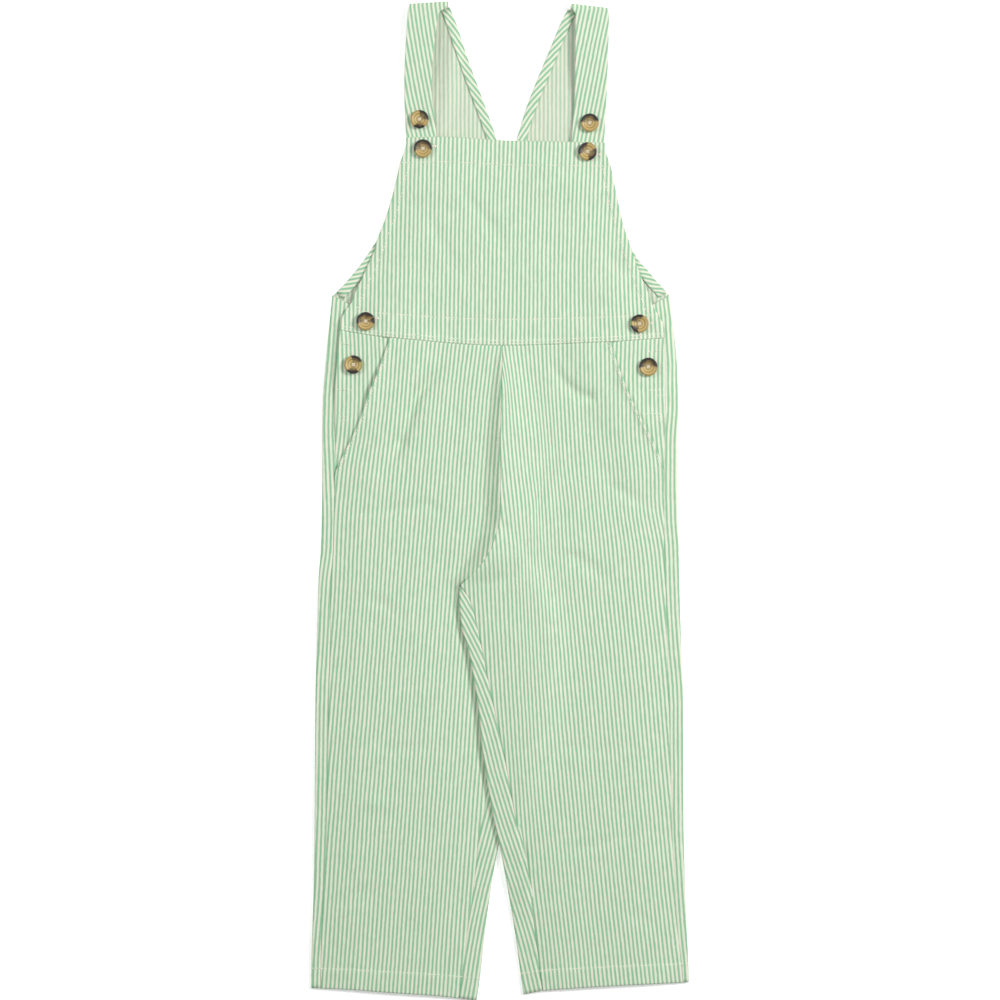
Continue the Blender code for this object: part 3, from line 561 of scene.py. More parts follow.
# Where numbered stripes run, counted from the left of each panel
STRIPE = 3.58  # from one green stripe to the next
STRIPE_EDGE = 0.13  # how far a stripe's colour runs out to each side of its edge, as a share of the period
LEG_GRAIN_COLUMNS = {"left": ("y", "3", "18", "27"), "right": ("y", "3", "9", "12", "15", "18", "24", "33")}
LEG_GRAIN = {
    "left": (
        (145.0, -112.0, -57.6, -25.4),
        (95.0, -114.7, -62.1, -30.6),
        (60.0, -118.1, -65.4, -33.5),
        (26.0, -123.2, -68.2, -36.2),
        (-9.0, -126.5, -71.3, -38.7),
        (-43.0, -128.4, -74.0, -41.8),
        (-77.0, -130.0, -76.7, -44.8),
        (-146.0, -135.2, -81.6, -49.9),
        (-215.0, -141.1, -86.7, -54.7),
        (-318.0, -148.7, -94.1, -62.1),
        (-387.0, -153.3, -99.3, -67.2),
        (-430.0, -156.5, -102.5, -70.5),
    ),
    "right": (
        (145.0, -27.5, -6.5, 3.9, 14.5, 25.1, 47.2, 79.7),
        (95.0, -20.0, 2.7, 9.8, 19.2, 29.2, 48.5, 80.4),
        (60.0, -16.0, 3.3, 12.7, 22.7, 32.6, 50.3, 81.6),
        (26.0, -14.0, 5.6, 16.0, 25.5, 35.0, 52.7, 84.2),
        (-9.0, -11.5, 9.1, 19.7, 29.4, 36.6, 56.4, 87.0),
        (-43.0, -8.9, 12.7, 21.8, 30.0, 38.6, 58.4, 90.6),
        (-77.0, -7.3, 14.5, 23.4, 32.5, 41.7, 60.9, 93.4),
        (-146.0, -3.5, 17.6, 26.9, 36.6, 46.3, 67.7, 100.3),
        (-215.0, 1.6, 21.5, 30.9, 41.5, 52.2, 73.8, 106.2),
        (-318.0, 8.5, 29.6, 40.4, 51.0, 61.7, 83.3, 115.7),
        (-387.0, 16.0, 37.6, 48.0, 58.4, 68.9, 90.3, 122.9),
        (-430.0, 20.5, 42.1, 52.5, 62.9, 73.2, 94.6, 127.2),
    ),
}
BIB_GRAIN_COLUMNS = ("y", "4", "28", "52")
BIB_GRAIN = (
    (312.0, -82.6, 4.4, 90.0),
    (250.0, -83.8, 2.2, 87.8),
    (195.0, -84.8, 1.5, 86.0),
    (132.0, -85.7, 0.0, 87.5),
)
# One stripe on each hip piece, one near each outer side of the back, and how those that come round the
# inner leg run on the front
POCKET_GRAIN_COLUMNS = ("y", "x")
POCKET_GRAIN = {
    "left": ((145.0, -121.0), (110.0, -119.8), (80.0, -120.2), (25.0, -125.0)),
    "right": ((145.0, 123.0), (110.0, 122.0), (80.0, 122.4), (25.0, 127.0)),
}
BACK_GRAIN_COLUMNS = ("y", "x")
BACK_GRAIN = {
    "left": (
        (HIP_Y, -144.0),
        (90.0, -153.8),
        (40.0, -154.9),
        (CROTCH_Y, -159.0),
        (-300.0, -157.7),
        (-430.0, -156.4),
    ),
    "right": ((HIP_Y, 145.8), (95.0, 155.9), (30.0, 157.0), (CROTCH_Y, 157.0), (-430.0, 156.0)),
}
WRAP_GRAIN_COLUMNS = ("y", "x")
WRAP_GRAIN = {
    "left": (
        (CROTCH_Y, 0.0),
        (-172.0, -32.2),
        (-280.0, -61.1),
        (-335.0, -74.8),
        (-375.0, -83.0),
        (-430.0, -93.2),
    ),
    "right": (
        (CROTCH_Y, 0.0),
        (-100.0, 15.0),
        (-140.0, 33.6),
        (-180.0, 47.8),
        (-230.0, 61.7),
        (-335.0, 95.2),
        (-380.0, 108.1),
        (-430.0, 119.6),
    ),
}
STRAP_GRAIN_COLUMNS = ("y", "x")
STRAP_GRAIN = {
    "left": ((430.0, -60.0), (400.0, -55.9), (360.0, -48.8), (330.0, -42.5), (300.0, -35.3), (271.0, -28.3)),
    "right": ((430.0, 75.0), (400.0, 68.6), (360.0, 60.8), (330.0, 55.2), (300.0, 49.9), (271.0, 44.7)),
}

# Each button's dark arcs by their middle and width, in degrees anticlockwise from its right side
BUTTON_COLUMNS = ("place", "x", "y", "dark", "dark_width", "second", "second_width")
BUTTONS = (
    ("strap_left", -69.0, 326.5, 42.0, 95.0, -92.0, 75.0),
    ("strap_right", 77.0, 323.5, 95.0, 165.0, 0.0, 0.0),
    ("bib_left", -66.0, 301.0, 95.0, 205.0, 0.0, 0.0),
    ("bib_right", 75.0, 298.5, 145.0, 110.0, -32.0, 105.0),
    ("waist_left", -115.0, 153.0, 115.0, 170.0, 5.0, 45.0),
    ("waist_right", 119.5, 151.0, 115.0, 95.0, -133.0, 65.0),
    ("placket_left", -125.5, 116.0, 62.0, 85.0, -95.0, 80.0),
    ("placket_right", 127.0, 114.0, 92.0, 185.0, 0.0, 0.0),
)
# Half a button's section: a shallow dish with a turned ring in it, the rim, and the rounded underside. Each
# point is how far out and how far up it lies, as shares of the radius and the height.
PROFILE = (
    (0.0, 0.42),
    (0.08, 0.426),
    (0.16, 0.445),
    (0.24, 0.475),
    (0.32, 0.52),
    (0.38, 0.56),
    (0.42, 0.55),
    (0.46, 0.58),
    (0.56, 0.66),
    (0.64, 0.76),
    (0.72, 0.87),
    (0.8, 0.97),
    (0.88, 1.0),
    (0.95, 0.93),
    (0.99, 0.76),
    (1.0, 0.58),
    (0.985, 0.42),
    (0.936, 0.28),
    (0.8, 0.12),
    (0.586, 0.0),
    (0.0, 0.0),
)
BUTTON_STEPS = 64
BUTTON_HOLE_RING = 1.55  # from the middle to each hole's middle
HOLE_STEPS = 12
SHARP_EDGE = 50.0  # degrees between two faces that meet in an edge
THREAD_UP = 0.5  # how high in a button its thread crosses
DARK_SOFTNESS = 26.0  # over how many degrees an arc's ends fade
SMOKE = 0.5  # how dark an arc is inside the rim, as a share of how dark it is on the rim
SMOKE_START = (0.1, 0.45)  # how far out from a button's middle it sets in, and then turns as dark as the rim
RIM_START = (0.62, 0.84)

# A buttonhole's end that shows beside its button: from the button's middle, and half its width
HOLE_END = (8.2, 10.4)
HOLE_HALF = 0.55

# Tacks that close the foot of each button opening
TACK_COLUMNS = ("x", "y", "to_x", "to_y")
TACKS = {
    "left": (
        (-136.1, 126.5, -126.6, 126.5),
        (-139.5, 92.1, -127.5, 92.1),
        (-137.0, 74.9, -131.0, 74.9),
        (-137.0, 71.4, -131.0, 71.4),
        (-137.0, 68.0, -131.0, 68.0),
    ),
    "right": (
        (127.9, 126.2, 140.0, 126.2),
        (128.8, 93.8, 140.0, 93.8),
        (134.8, 89.5, 140.0, 89.5),
        (122.8, 74.0, 136.6, 74.0),
        (134.0, 71.0, 137.0, 71.0),
        (134.0, 68.3, 137.0, 68.3),
    ),
}
STITCH_POINTS = 4.0  # apart along a row
THREAD_PROUD = 0.08  # how far the middle of a thread lies over the cloth's surface

# The twill's ribs: how far apart they are drawn, which way they slant, and how deep they and the crinkles are
RIB = 1.1
RIB_SLANT = (0.8, 0.6, 0.0)
RELIEF = 0.2

# The stage's lights, in metres. One that isn't aimed at the garment's middle faces straight down, out of the
# camera's sight.
LIGHT_COLUMNS = ("setting", "place", "size", "aimed")
LIGHTS = (
    ("right", (1.9, 0.8, 1.9), 0.8, True),
    ("left", (-1.9, 0.8, 1.9), 0.8, True),
    ("overhead", (0.0, 0.18, 1.2), 0.12, False),
)
FLOOR_REACH = 3.0
FLOOR_GAP = 0.2 * MM  # between the paper and the garment
LENS = 80.0


def linear(hex_colour):
    """An sRGB hex colour as linear red, green and blue."""
    parts = [int(hex_colour[i : i + 2], 16) / 255 for i in (1, 3, 5)]
    return tuple(c / 12.92 if c <= 0.04045 else ((c + 0.055) / 1.055) ** 2.4 for c in parts)


def colour_property(name, description, hex_colour):
    return bpy.props.FloatVectorProperty(
        name=name, description=description, default=linear(hex_colour), size=3, min=0, max=1, subtype="COLOR"
    )


def number_property(name, description, value, **limits):
    return bpy.props.FloatProperty(name=name, description=description, default=value, **limits)


def length_property(name, description, millimetres):
    return number_property(name, description, millimetres * MM, min=0, precision=5, unit="LENGTH")


class ClothSettings(bpy.types.PropertyGroup):
    """The woven cloth and its dyes."""

    thickness: length_property("Thickness", "Thickness of the twill", 0.8)
    period: length_property("Stripe period", "From one green stripe to the next", STRIPE)
    green_share: number_property("Green share", "Share of the stripe period that is green", 0.5, min=0, max=1)
    green: colour_property("Green yarn", "Dyed warp yarn on the face", "#8EC098")
    cream: colour_property("Cream yarn", "Undyed warp and weft yarn", "#E3E4D2")
    # The wrong side: its green is paler than on the face, as more cream weft shows there, and both colours
    # are made darker as painted shade for the shade that the inside cloth lies in.
    green_inside_shaded: colour_property("Green inside", "Green stripe on the wrong side", "#ACC8AD")
    cream_inside_shaded: colour_property("Cream inside", "Cream stripe on the wrong side", "#DEDDCC")


class SewingSettings(bpy.types.PropertyGroup):
    """Topstitching."""

    stitch: length_property("Stitch length", "Length of a stitch that shows", 2.4)
    space: length_property("Stitch space", "From one stitch to the next", 0.6)
    thread: length_property("Thread width", "Width of the sewing thread", 0.75)
    colour: colour_property("Thread", "Colour of the sewing thread", "#F4EFE2")


class ButtonSettings(bpy.types.PropertyGroup):
    """Four-hole buttons."""

    diameter: length_property("Diameter", "Width of a button", 15.7)
    height: length_property("Height", "Height of a button at its rim", 3.2)
    hole: length_property("Hole", "Width of a thread hole", 1.2)
    amber: colour_property("Amber", "Clear part of the tortoiseshell", "#BCA263")
    dark: colour_property("Dark", "Dark patches of the tortoiseshell", "#241A16")


class StageSettings(bpy.types.PropertyGroup):
    """Floor, light and camera."""

    floor: colour_property("Floor", "Paper under the garment", "#FFFFFF")
    glow: number_property("Glow", "Light that comes through the paper", 0.3, min=0)
    distance: length_property("Camera distance", "Height of the camera over the floor", 1911.0)
    sky: number_property("Sky", "Strength of the light from all round", 0.32)
    right: number_property("Right light", "Power of the softbox on the right", 55.0, min=0, unit="POWER")
    left: number_property("Left light", "Power of the softbox on the left", 20.0, min=0, unit="POWER")
    overhead: number_property(
        "Overhead light", "Power of the small light over the bib", 2.4, min=0, unit="POWER"
    )


def curve(rows, value):
    """A function through a table's first column and one other: cubic pieces that never overshoot."""
    points = sorted((row[0], row[value]) for row in rows)
    at = [p[0] for p in points]
    to = [p[1] for p in points]
    slopes = [(b - a) / (q - p) for a, b, p, q in zip(to, to[1:], at, at[1:])]
    turns = [slopes[0]] + [0.0] * (len(at) - 2) + [slopes[-1]]
    for i in range(1, len(slopes)):
        before, after = slopes[i - 1], slopes[i]
        if before * after > 0:
            turns[i] = 2 * before * after / (before + after)

    def read(x):
        x = min(max(x, at[0]), at[-1])
        i = min(max(bisect_right(at, x) - 1, 0), len(at) - 2)
        width = at[i + 1] - at[i]
        t = (x - at[i]) / width
        rest = 1 - t
        start, end = to[i] * (1 + 2 * t) * rest * rest, to[i + 1] * t * t * (3 - 2 * t)
        return start + end + width * (turns[i] * t * rest * rest - turns[i + 1] * t * t * rest)

    return read


def sides(table, columns, column):
    """The curve of one named column on each side of the garment."""
    return {side: curve(rows, columns.index(column)) for side, rows in table.items()}


outer_fold = sides(SIDE, SIDE_COLUMNS, "outer_fold")
front_edge = sides(SIDE, SIDE_COLUMNS, "front_edge")
inseam = sides(INNER, INNER_COLUMNS, "inseam")
inner_fold = sides(INNER, INNER_COLUMNS, "inner_fold")
stand_edge = sides(STAND, STAND_COLUMNS, "edge")
armhole = sides(ARMHOLE, ARMHOLE_COLUMNS, "x")
neck = sides(NECK, NECK_COLUMNS, "x")
strap_outer = sides(STRAP, STRAP_COLUMNS, "outer")
strap_inner = sides(STRAP, STRAP_COLUMNS, "inner")
pocket_edge = sides(POCKET, POCKET_COLUMNS, "edge")
hem = sides(HEM, HEM_COLUMNS, "y")
bib_side = {side: curve(BIB, BIB_COLUMNS.index(side)) for side in OUTWARD}
bib_top = curve(BIB_TOP, BIB_TOP_COLUMNS.index("y"))
waist = curve(WAIST, WAIST_COLUMNS.index("y"))
centre_front = curve(CENTRE, CENTRE_COLUMNS.index("front"))
centre_back = curve(CENTRE, CENTRE_COLUMNS.index("back"))
lift_edge = curve(LIFT, LIFT_COLUMNS.index("edge"))
cliff_rise = curve(CLIFF, CLIFF_COLUMNS.index("rise"))
cliff_reach = curve(CLIFF, CLIFF_COLUMNS.index("reach"))
pocket_stripe = sides(POCKET_GRAIN, POCKET_GRAIN_COLUMNS, "x")
strap_stripe = sides(STRAP_GRAIN, STRAP_GRAIN_COLUMNS, "x")
side_stripe = sides(BACK_GRAIN, BACK_GRAIN_COLUMNS, "x")
wrap_stripe = sides(WRAP_GRAIN, WRAP_GRAIN_COLUMNS, "x")


def soft(t):
    """0 below 0, 1 above 1 and smooth between."""
    t = min(max(t, 0.0), 1.0)
    return t * t * (3 - 2 * t)


def ramp(value, limits):
    """0 at the first limit, 1 at the second and smooth between."""
    return soft((value - limits[0]) / (limits[1] - limits[0]))


def mix(a, b, share):
    return a + (b - a) * share


def slope(line, y, reach=1.0):
    """How far a line moves in x for each mm up."""
    return (line(y + reach) - line(y - reach)) / (2 * reach)


def across(low, high, count):
    """Places from one edge to the other: close together at both edges and even between."""
    width = abs(high - low)
    reach = 2 * EDGE_OFFSETS[-1]
    shrink = min(1.0, width / (reach * EDGE_ROOM))
    near = [off * shrink / width for off in EDGE_OFFSETS] if width > TINY else [0.0] * len(EDGE_OFFSETS)
    start, end = near[-1], 1 - near[-1]
    shares = near + [mix(start, end, k / count) for k in range(1, count)] + [1 - n for n in reversed(near)]
    return [mix(low, high, share) for share in shares]


def levels(top, bottom, step, stops=(), fine=()):
    """Row heights from top to bottom, evenly apart between the stops and closer beside the fine ones."""
    close = {f + k * FINE_STEP for f in fine for k in (-2, -1, 0, 1, 2)}
    marks = sorted({s for s in set(stops) | close if bottom < s < top} | {top, bottom}, reverse=True)
    rows = [top]
    for high, low in zip(marks, marks[1:]):
        count = max(1, round((high - low) / step))
        rows += [high + (low - high) * k / count for k in range(1, count + 1)]
    return rows


def leg_lift(side, x, y):
    """How far the right leg is carried up where it lies on the left one."""
    if side == "left":
        return 0.0
    edge = lift_edge(y)
    return RIGHT_LEG_LIFT * ramp(y, (CENTRE_END_Y, CROTCH_Y)) * ramp(x, (edge + LIFT_RAMP, edge))


def seam_climb(side, x, y):
    """The left front climbs to the centre seam where the right one lies over it."""
    if side == "right" or y > CENTRE_END_Y:
        return 0.0
    height = ramp(y, (CENTRE_END_Y, CROTCH_Y)) * ramp(y, (CROTCH_Y, CROTCH_Y + SEAM_CLIMB_HEIGHT))
    width = soft(1 - (centre_front(y) - x) / SEAM_CLIMB_WIDTH)
    return SEAM_CLIMB_SHARE * RIGHT_LEG_LIFT * height * width


def cliff(x, y):
    """The fronts' rise to the centre seam: steep beside it on the left, gentle on the right."""
    past = x - centre_front(y)
    if past > 0:
        return cliff_rise(y) * soft(1 - past / (CLIFF_BACK * cliff_reach(y)))
    return cliff_rise(y) * max(1 + past / cliff_reach(y), 0.0) ** CLIFF_BEND


def crown(side, x, y):
    """Air under the front: none at the folds, most between them."""
    from_side = abs(outer_fold[side](y) - x)
    if y > CROTCH_Y:
        from_inner = math.hypot(x - CROTCH_X, y - CROTCH_Y)
    elif side == "left":
        from_inner = min(inner_fold["left"](y), inner_fold["right"](y)) - x
    else:
        from_inner = x - inner_fold["right"](y)
    return CROWN * soft(from_side / CROWN_REACH) * soft(from_inner / CROWN_REACH)


def around(rows):
    """The box that a crease keeps to: left, right, low and high."""
    reach = max(row[2] for row in rows)
    xs, ys = [row[0] for row in rows], [row[1] for row in rows]
    return min(xs) - reach, max(xs) + reach, min(ys) - reach, max(ys) + reach


crease_boxes = {panel: [(rows, around(rows)) for rows in folds.values()] for panel, folds in CREASES.items()}


def creases(panel, x, y):
    """Rise of a panel's creases at a point: each crease by its nearest stretch."""
    total = 0.0
    for rows, (left, right, low, high) in crease_boxes[panel]:
        if not (left < x < right and low < y < high):
            continue
        highest = 0.0
        for (x1, y1, reach1, rise1), (x2, y2, reach2, rise2) in zip(rows, rows[1:]):
            run_x, run_y = x2 - x1, y2 - y1
            along = ((x - x1) * run_x + (y - y1) * run_y) / (run_x**2 + run_y**2)
            along = min(max(along, 0.0), 1.0)
            away = math.hypot(x - x1 - along * run_x, y - y1 - along * run_y)
            reach = mix(reach1, reach2, along)
            if away < reach:
                rise = mix(rise1, rise2, along) * soft(1 - away / reach)
                highest = rise if abs(rise) > abs(highest) else highest
        total += highest
    return total


def pocket_layers(side, x, y):
    """How many layers lie between the front leg and the back beside the slant edge."""
    inside = abs(x - pocket_edge[side](y))
    return (1 + ramp(y, STAND_FOOT)) * ramp(y, POCKET_FOOT) * ramp(inside, POCKET_INSIDE)


def hem_warp(side, x, y):
    return (hem[side](x) - HEM_LINE_Y) * soft(1 - (y - HEM_LINE_Y) / HEM_WARP)


def waist_warp(x, y):
    return (waist(x) - WAIST_Y) * soft(1 - (WAIST_Y - y) / WAIST_WARP)


def ruffle(x, y):
    """The low unevenness of laid cloth."""
    return RUFFLE * noise.noise(Vector((x / RUFFLE_WIDTH, y / RUFFLE_LENGTH, 0.0)))


def roll(*distances):
    """How far cloth turns down at the nearest edge that lies on top."""
    return EDGE_ROLL * max(soft(1 - d / EDGE_REACH) for d in distances)


def tuck(*distances):
    """How far cloth goes down to pass under the nearest seam, whose far side has distances below 0."""
    return TUCK * max(ramp(d, TUCK_REACH) for d in distances)


def sunk(*distances):
    """How far the nearest row of stitches draws the cloth in."""
    return STITCH_SINK * max(soft(1 - abs(d) / STITCH_REACH) for d in distances)


def leg_height(side, x, y):
    """Middle of a front leg's cloth, in the heights of its grid."""
    z = FRONT_Z + crown(side, x, y) + cliff(x, y) + creases(f"leg_{side}", x, y) + ruffle(x, y)
    z += FELL_RISE * ramp(y - HEM_ROW, HEM_FELL)
    if y > POCKET_FOOT_Y:
        from_edge = abs(x - pocket_edge[side](y))
        z += creases(f"slant_{side}", x, y) + FELL_RISE * ramp(from_edge, SLANT_FELL)
        z -= sunk(from_edge - POCKET_ROW)
    z = max(z - sunk(y - HEM_ROW), LOWEST_FRONT)
    return z + leg_lift(side, x, y) + seam_climb(side, x, y) + LAYER * pocket_layers(side, x, y)


def leg_warp(side, x, y):
    return waist_warp(x, y) + hem_warp(side, x, y) - SEAM * ramp(y, WAIST_SEAM)


def bib_warp(x, y):
    warp = (bib_top(x) - BIB_TOP_Y) * soft(1 - (BIB_TOP_Y - y) / HEM_WARP)
    return warp + (waist(x) + SEAM - WAIST_Y) * soft(1 - (y - WAIST_Y) / HEM_WARP)


def pocket_height(side, x, y):
    z = FRONT_Z + crown(side, x, y) + creases(f"pocket_{side}", x, y)
    return z + ruffle(x, y) + LAYER * ramp(y, STAND_FOOT)


def waist_height(side, x):
    """Middle of the cloth that the bib is sewn to: the front leg, then over its slant the hip piece."""
    edge = pocket_edge[side](WAIST_Y)
    past = OUTWARD[side] * (x - edge)
    if past <= 0:
        return leg_height(side, x, WAIST_Y)
    on_pocket = pocket_height(side, x, WAIST_Y)
    return mix(leg_height(side, edge, WAIST_Y), on_pocket, ramp(past, SLANT_STEP))


def bib_height(x, y):
    """Middle of the bib's cloth: up over the strap tails, the button stands and the waist seam's layers."""
    side = "left" if x < centre_front(y) else "right"
    inside = abs(x - bib_side[side](y))
    from_top = BIB_TOP_Y - y
    air = CROWN * soft((inside + HEM_WIDTH) / CROWN_REACH) * soft((from_top + HEM_WIDTH / 2) / CROWN_REACH)
    tail = ramp(y, TAIL_FOOT) * ramp(abs(x) - abs(strap_inner[side](STRAP_TAIL_Y)), TAIL_INSIDE)
    stand = ramp(y, STAND_HEAD) * ramp(inside, STAND_INSIDE)
    z = FRONT_Z + air + LAYER * max(tail, stand) + creases("bib", x, y) + ruffle(x, y)
    z = mix(z, waist_height(side, x), ramp(y, POCKET_HEAD))
    felled = max(
        ramp(BIB_HEM_ROW - y, HEM_FELL),
        ramp(y - WAIST_ROWS[1], ROW_FELL),
        ramp(inside - BIB_EDGE_ROW, ROW_FELL),
    )
    from_rows = [y - row for row in (BIB_HEM_ROW, *WAIST_ROWS)]
    return z + FELL_RISE * felled - sunk(*from_rows, inside - BIB_EDGE_ROW)


def strap_height(side, x, y):
    """Middle of a strap's cloth on the front, which stands off the back below the shoulder."""
    return FRONT_Z + STRAP_LIFT * ramp(y, STRAP_RISE) + creases(f"strap_{side}", x, y)


def counted(rows, columns):
    """Distance across the cloth at a point, from where a panel's numbered stripes run."""
    numbers = [int(name) for name in columns[1:]]
    lines = [curve(rows, i + 1) for i in range(len(numbers))]

    def read(x, y):
        at = [line(y) for line in lines]
        i = min(max(bisect_right(at, x) - 1, 0), len(at) - 2)
        share = (x - at[i]) / (at[i + 1] - at[i])
        return STRIPE * mix(numbers[i], numbers[i + 1], share)

    return read


leg_cloth = {side: counted(LEG_GRAIN[side], LEG_GRAIN_COLUMNS[side]) for side in OUTWARD}
bib_cloth = counted(BIB_GRAIN, BIB_GRAIN_COLUMNS)


def beside(line, x, y):
    """Distance across the cloth from a stripe whose line is given."""
    return (x - line(y)) / math.hypot(1.0, slope(line, y))


def wrap_cloth(side, x, y):
    """Distance across the back's cloth where it lies on the front, come round the inner leg."""
    crotch = inner_fold[side](CROTCH_Y)
    at_crotch = crotch - side_stripe[side](HIP_Y)
    return at_crotch + beside(wrap_stripe[side], crotch, CROTCH_Y) - beside(wrap_stripe[side], x, y)


def back_cloth(side, x, y):
    """Distance across the back's cloth, which goes on past its side fold as if it lay open."""
    start = side_stripe[side]
    if y < CROTCH_Y:
        fold = inner_fold[side](y)
        near_inside = wrap_cloth(side, fold, y) + x - fold
    else:
        fold = centre_back(y)
        near_inside = x - start(HIP_Y)
    low = outer_fold[side](y)
    return mix(beside(start, x, y), near_inside, soft((x - low) / (fold - low)))


def laid_open(line, y, outward, past):
    """The point that a place past a fold comes to when the cloth is opened out flat."""
    lean = slope(line, y, FOLD_LEAN_REACH)
    if past < 0:
        return line(y) + outward * past, y
    turn = 1 + lean**2
    return line(y) + outward * past * (1 - lean**2) / turn, y - outward * past * 2 * lean / turn


def fold_point(side_x, outward, along):
    """(x, rise) at a length past the line where the cloth leaves the floor to fold over."""
    if along <= FOLD_ARC:
        turn = along / FOLD_RADIUS
        return side_x + outward * FOLD_RADIUS * math.sin(turn), FOLD_RADIUS * (1 - math.cos(turn))
    return side_x - outward * (along - FOLD_ARC), 2 * FOLD_RADIUS


def wrap_lengths(reach):
    """Lengths along a wrap: round the fold, then over the front to its edge."""
    arc = min(reach, FOLD_ARC)
    flat = reach - arc
    return [arc * k / ARC_STEPS for k in range(ARC_STEPS + 1)] + [arc + flat * s for s in WRAP_SHARES]


def placed(name, mesh):
    """A new object at the origin that takes over what a bmesh holds."""
    data = bpy.data.meshes.new(name)
    mesh.to_mesh(data)
    mesh.free()
    piece = bpy.data.objects.new(name, data)
    bpy.context.scene.collection.objects.link(piece)
    return piece


def named(columns, rows):
    """A table's rows as dictionaries."""
    return [dict(zip(columns, row)) for row in rows]


def cloth(name, grids, node, size, faces_up=True):
    """Make a cloth piece from grids of (x, y, z, across, along) points, all in mm.

    Across and along are the place in the woven cloth. size is the width and length of the cut. faces_up
    says which way the grids' flat part shows its right side.
    """
    settings = bpy.context.scene.trouser_cloth
    mesh = bmesh.new()
    grain = mesh.loops.layers.uv.new("Cloth")
    for grid in grids:
        rows = []
        for line in grid:
            rows.append([(mesh.verts.new([c * MM for c in p[:3]]), p[3] * MM, p[4] * MM) for p in line])
        for above, below in zip(rows, rows[1:]):
            for i in range(len(above) - 1):
                corners = (above[i], below[i], below[i + 1], above[i + 1])
                face = mesh.faces.new([corner[0] for corner in corners])
                for loop, corner in zip(face.loops, corners):
                    loop[grain].uv = corner[1:]
    bmesh.ops.remove_doubles(mesh, verts=mesh.verts, dist=TINY)
    bmesh.ops.dissolve_degenerate(mesh, edges=mesh.edges, dist=TINY)
    bmesh.ops.recalc_face_normals(mesh, faces=mesh.faces)
    mesh.normal_update()
    flat = sum(face.normal.z * face.calc_area() for face in list(mesh.faces)[: len(mesh.faces) // 2])
    if (flat > 0) != faces_up:
        bmesh.ops.reverse_faces(mesh, faces=mesh.faces)
    area = sum(face.calc_area() for face in mesh.faces)
    piece = placed(name, mesh)
    piece.data.shade_smooth()
    piece.data.materials.append(twill_face())
    piece.data.materials.append(twill_inside())
    wall = piece.modifiers.new("Wall", "SOLIDIFY")
    wall.thickness = settings.thickness
    wall.offset = 0
    wall.material_offset = 1
    finished(piece)
    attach(piece, BODY)
    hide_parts(node)
    width, length = size
    area = min(area, width * length * MM * MM)
    return piece


def finished(piece):
    """Turn a piece's modifiers into its mesh."""
    bpy.context.view_layer.update()
    graph = bpy.context.evaluated_depsgraph_get()
    made = bpy.data.meshes.new_from_object(piece.evaluated_get(graph), depsgraph=graph)
    old = piece.data
    piece.modifiers.clear()
    piece.data = made
    made.name = piece.name
    if old.users == 0:
        bpy.data.meshes.remove(old)
    return piece


def add_node(tree, kind, inputs=None, **settings):
    """Add a node with its settings. inputs gives each socket a value or another node's output."""
    made = tree.nodes.new(kind)
    for name, value in settings.items():
        setattr(made, name, value)
    for socket, value in (inputs or {}).items():
        if isinstance(value, bpy.types.NodeSocket):
            tree.links.new(value, made.inputs[socket])
        else:
            made.inputs[socket].default_value = value
    return made


def new_material(name, roughness):
    """An empty material with its shader."""
    made = bpy.data.materials.new(name)
    made.use_nodes = True
    shader = made.node_tree.nodes["Principled BSDF"]
    shader.inputs["Roughness"].default_value = roughness
    return made, made.node_tree, shader


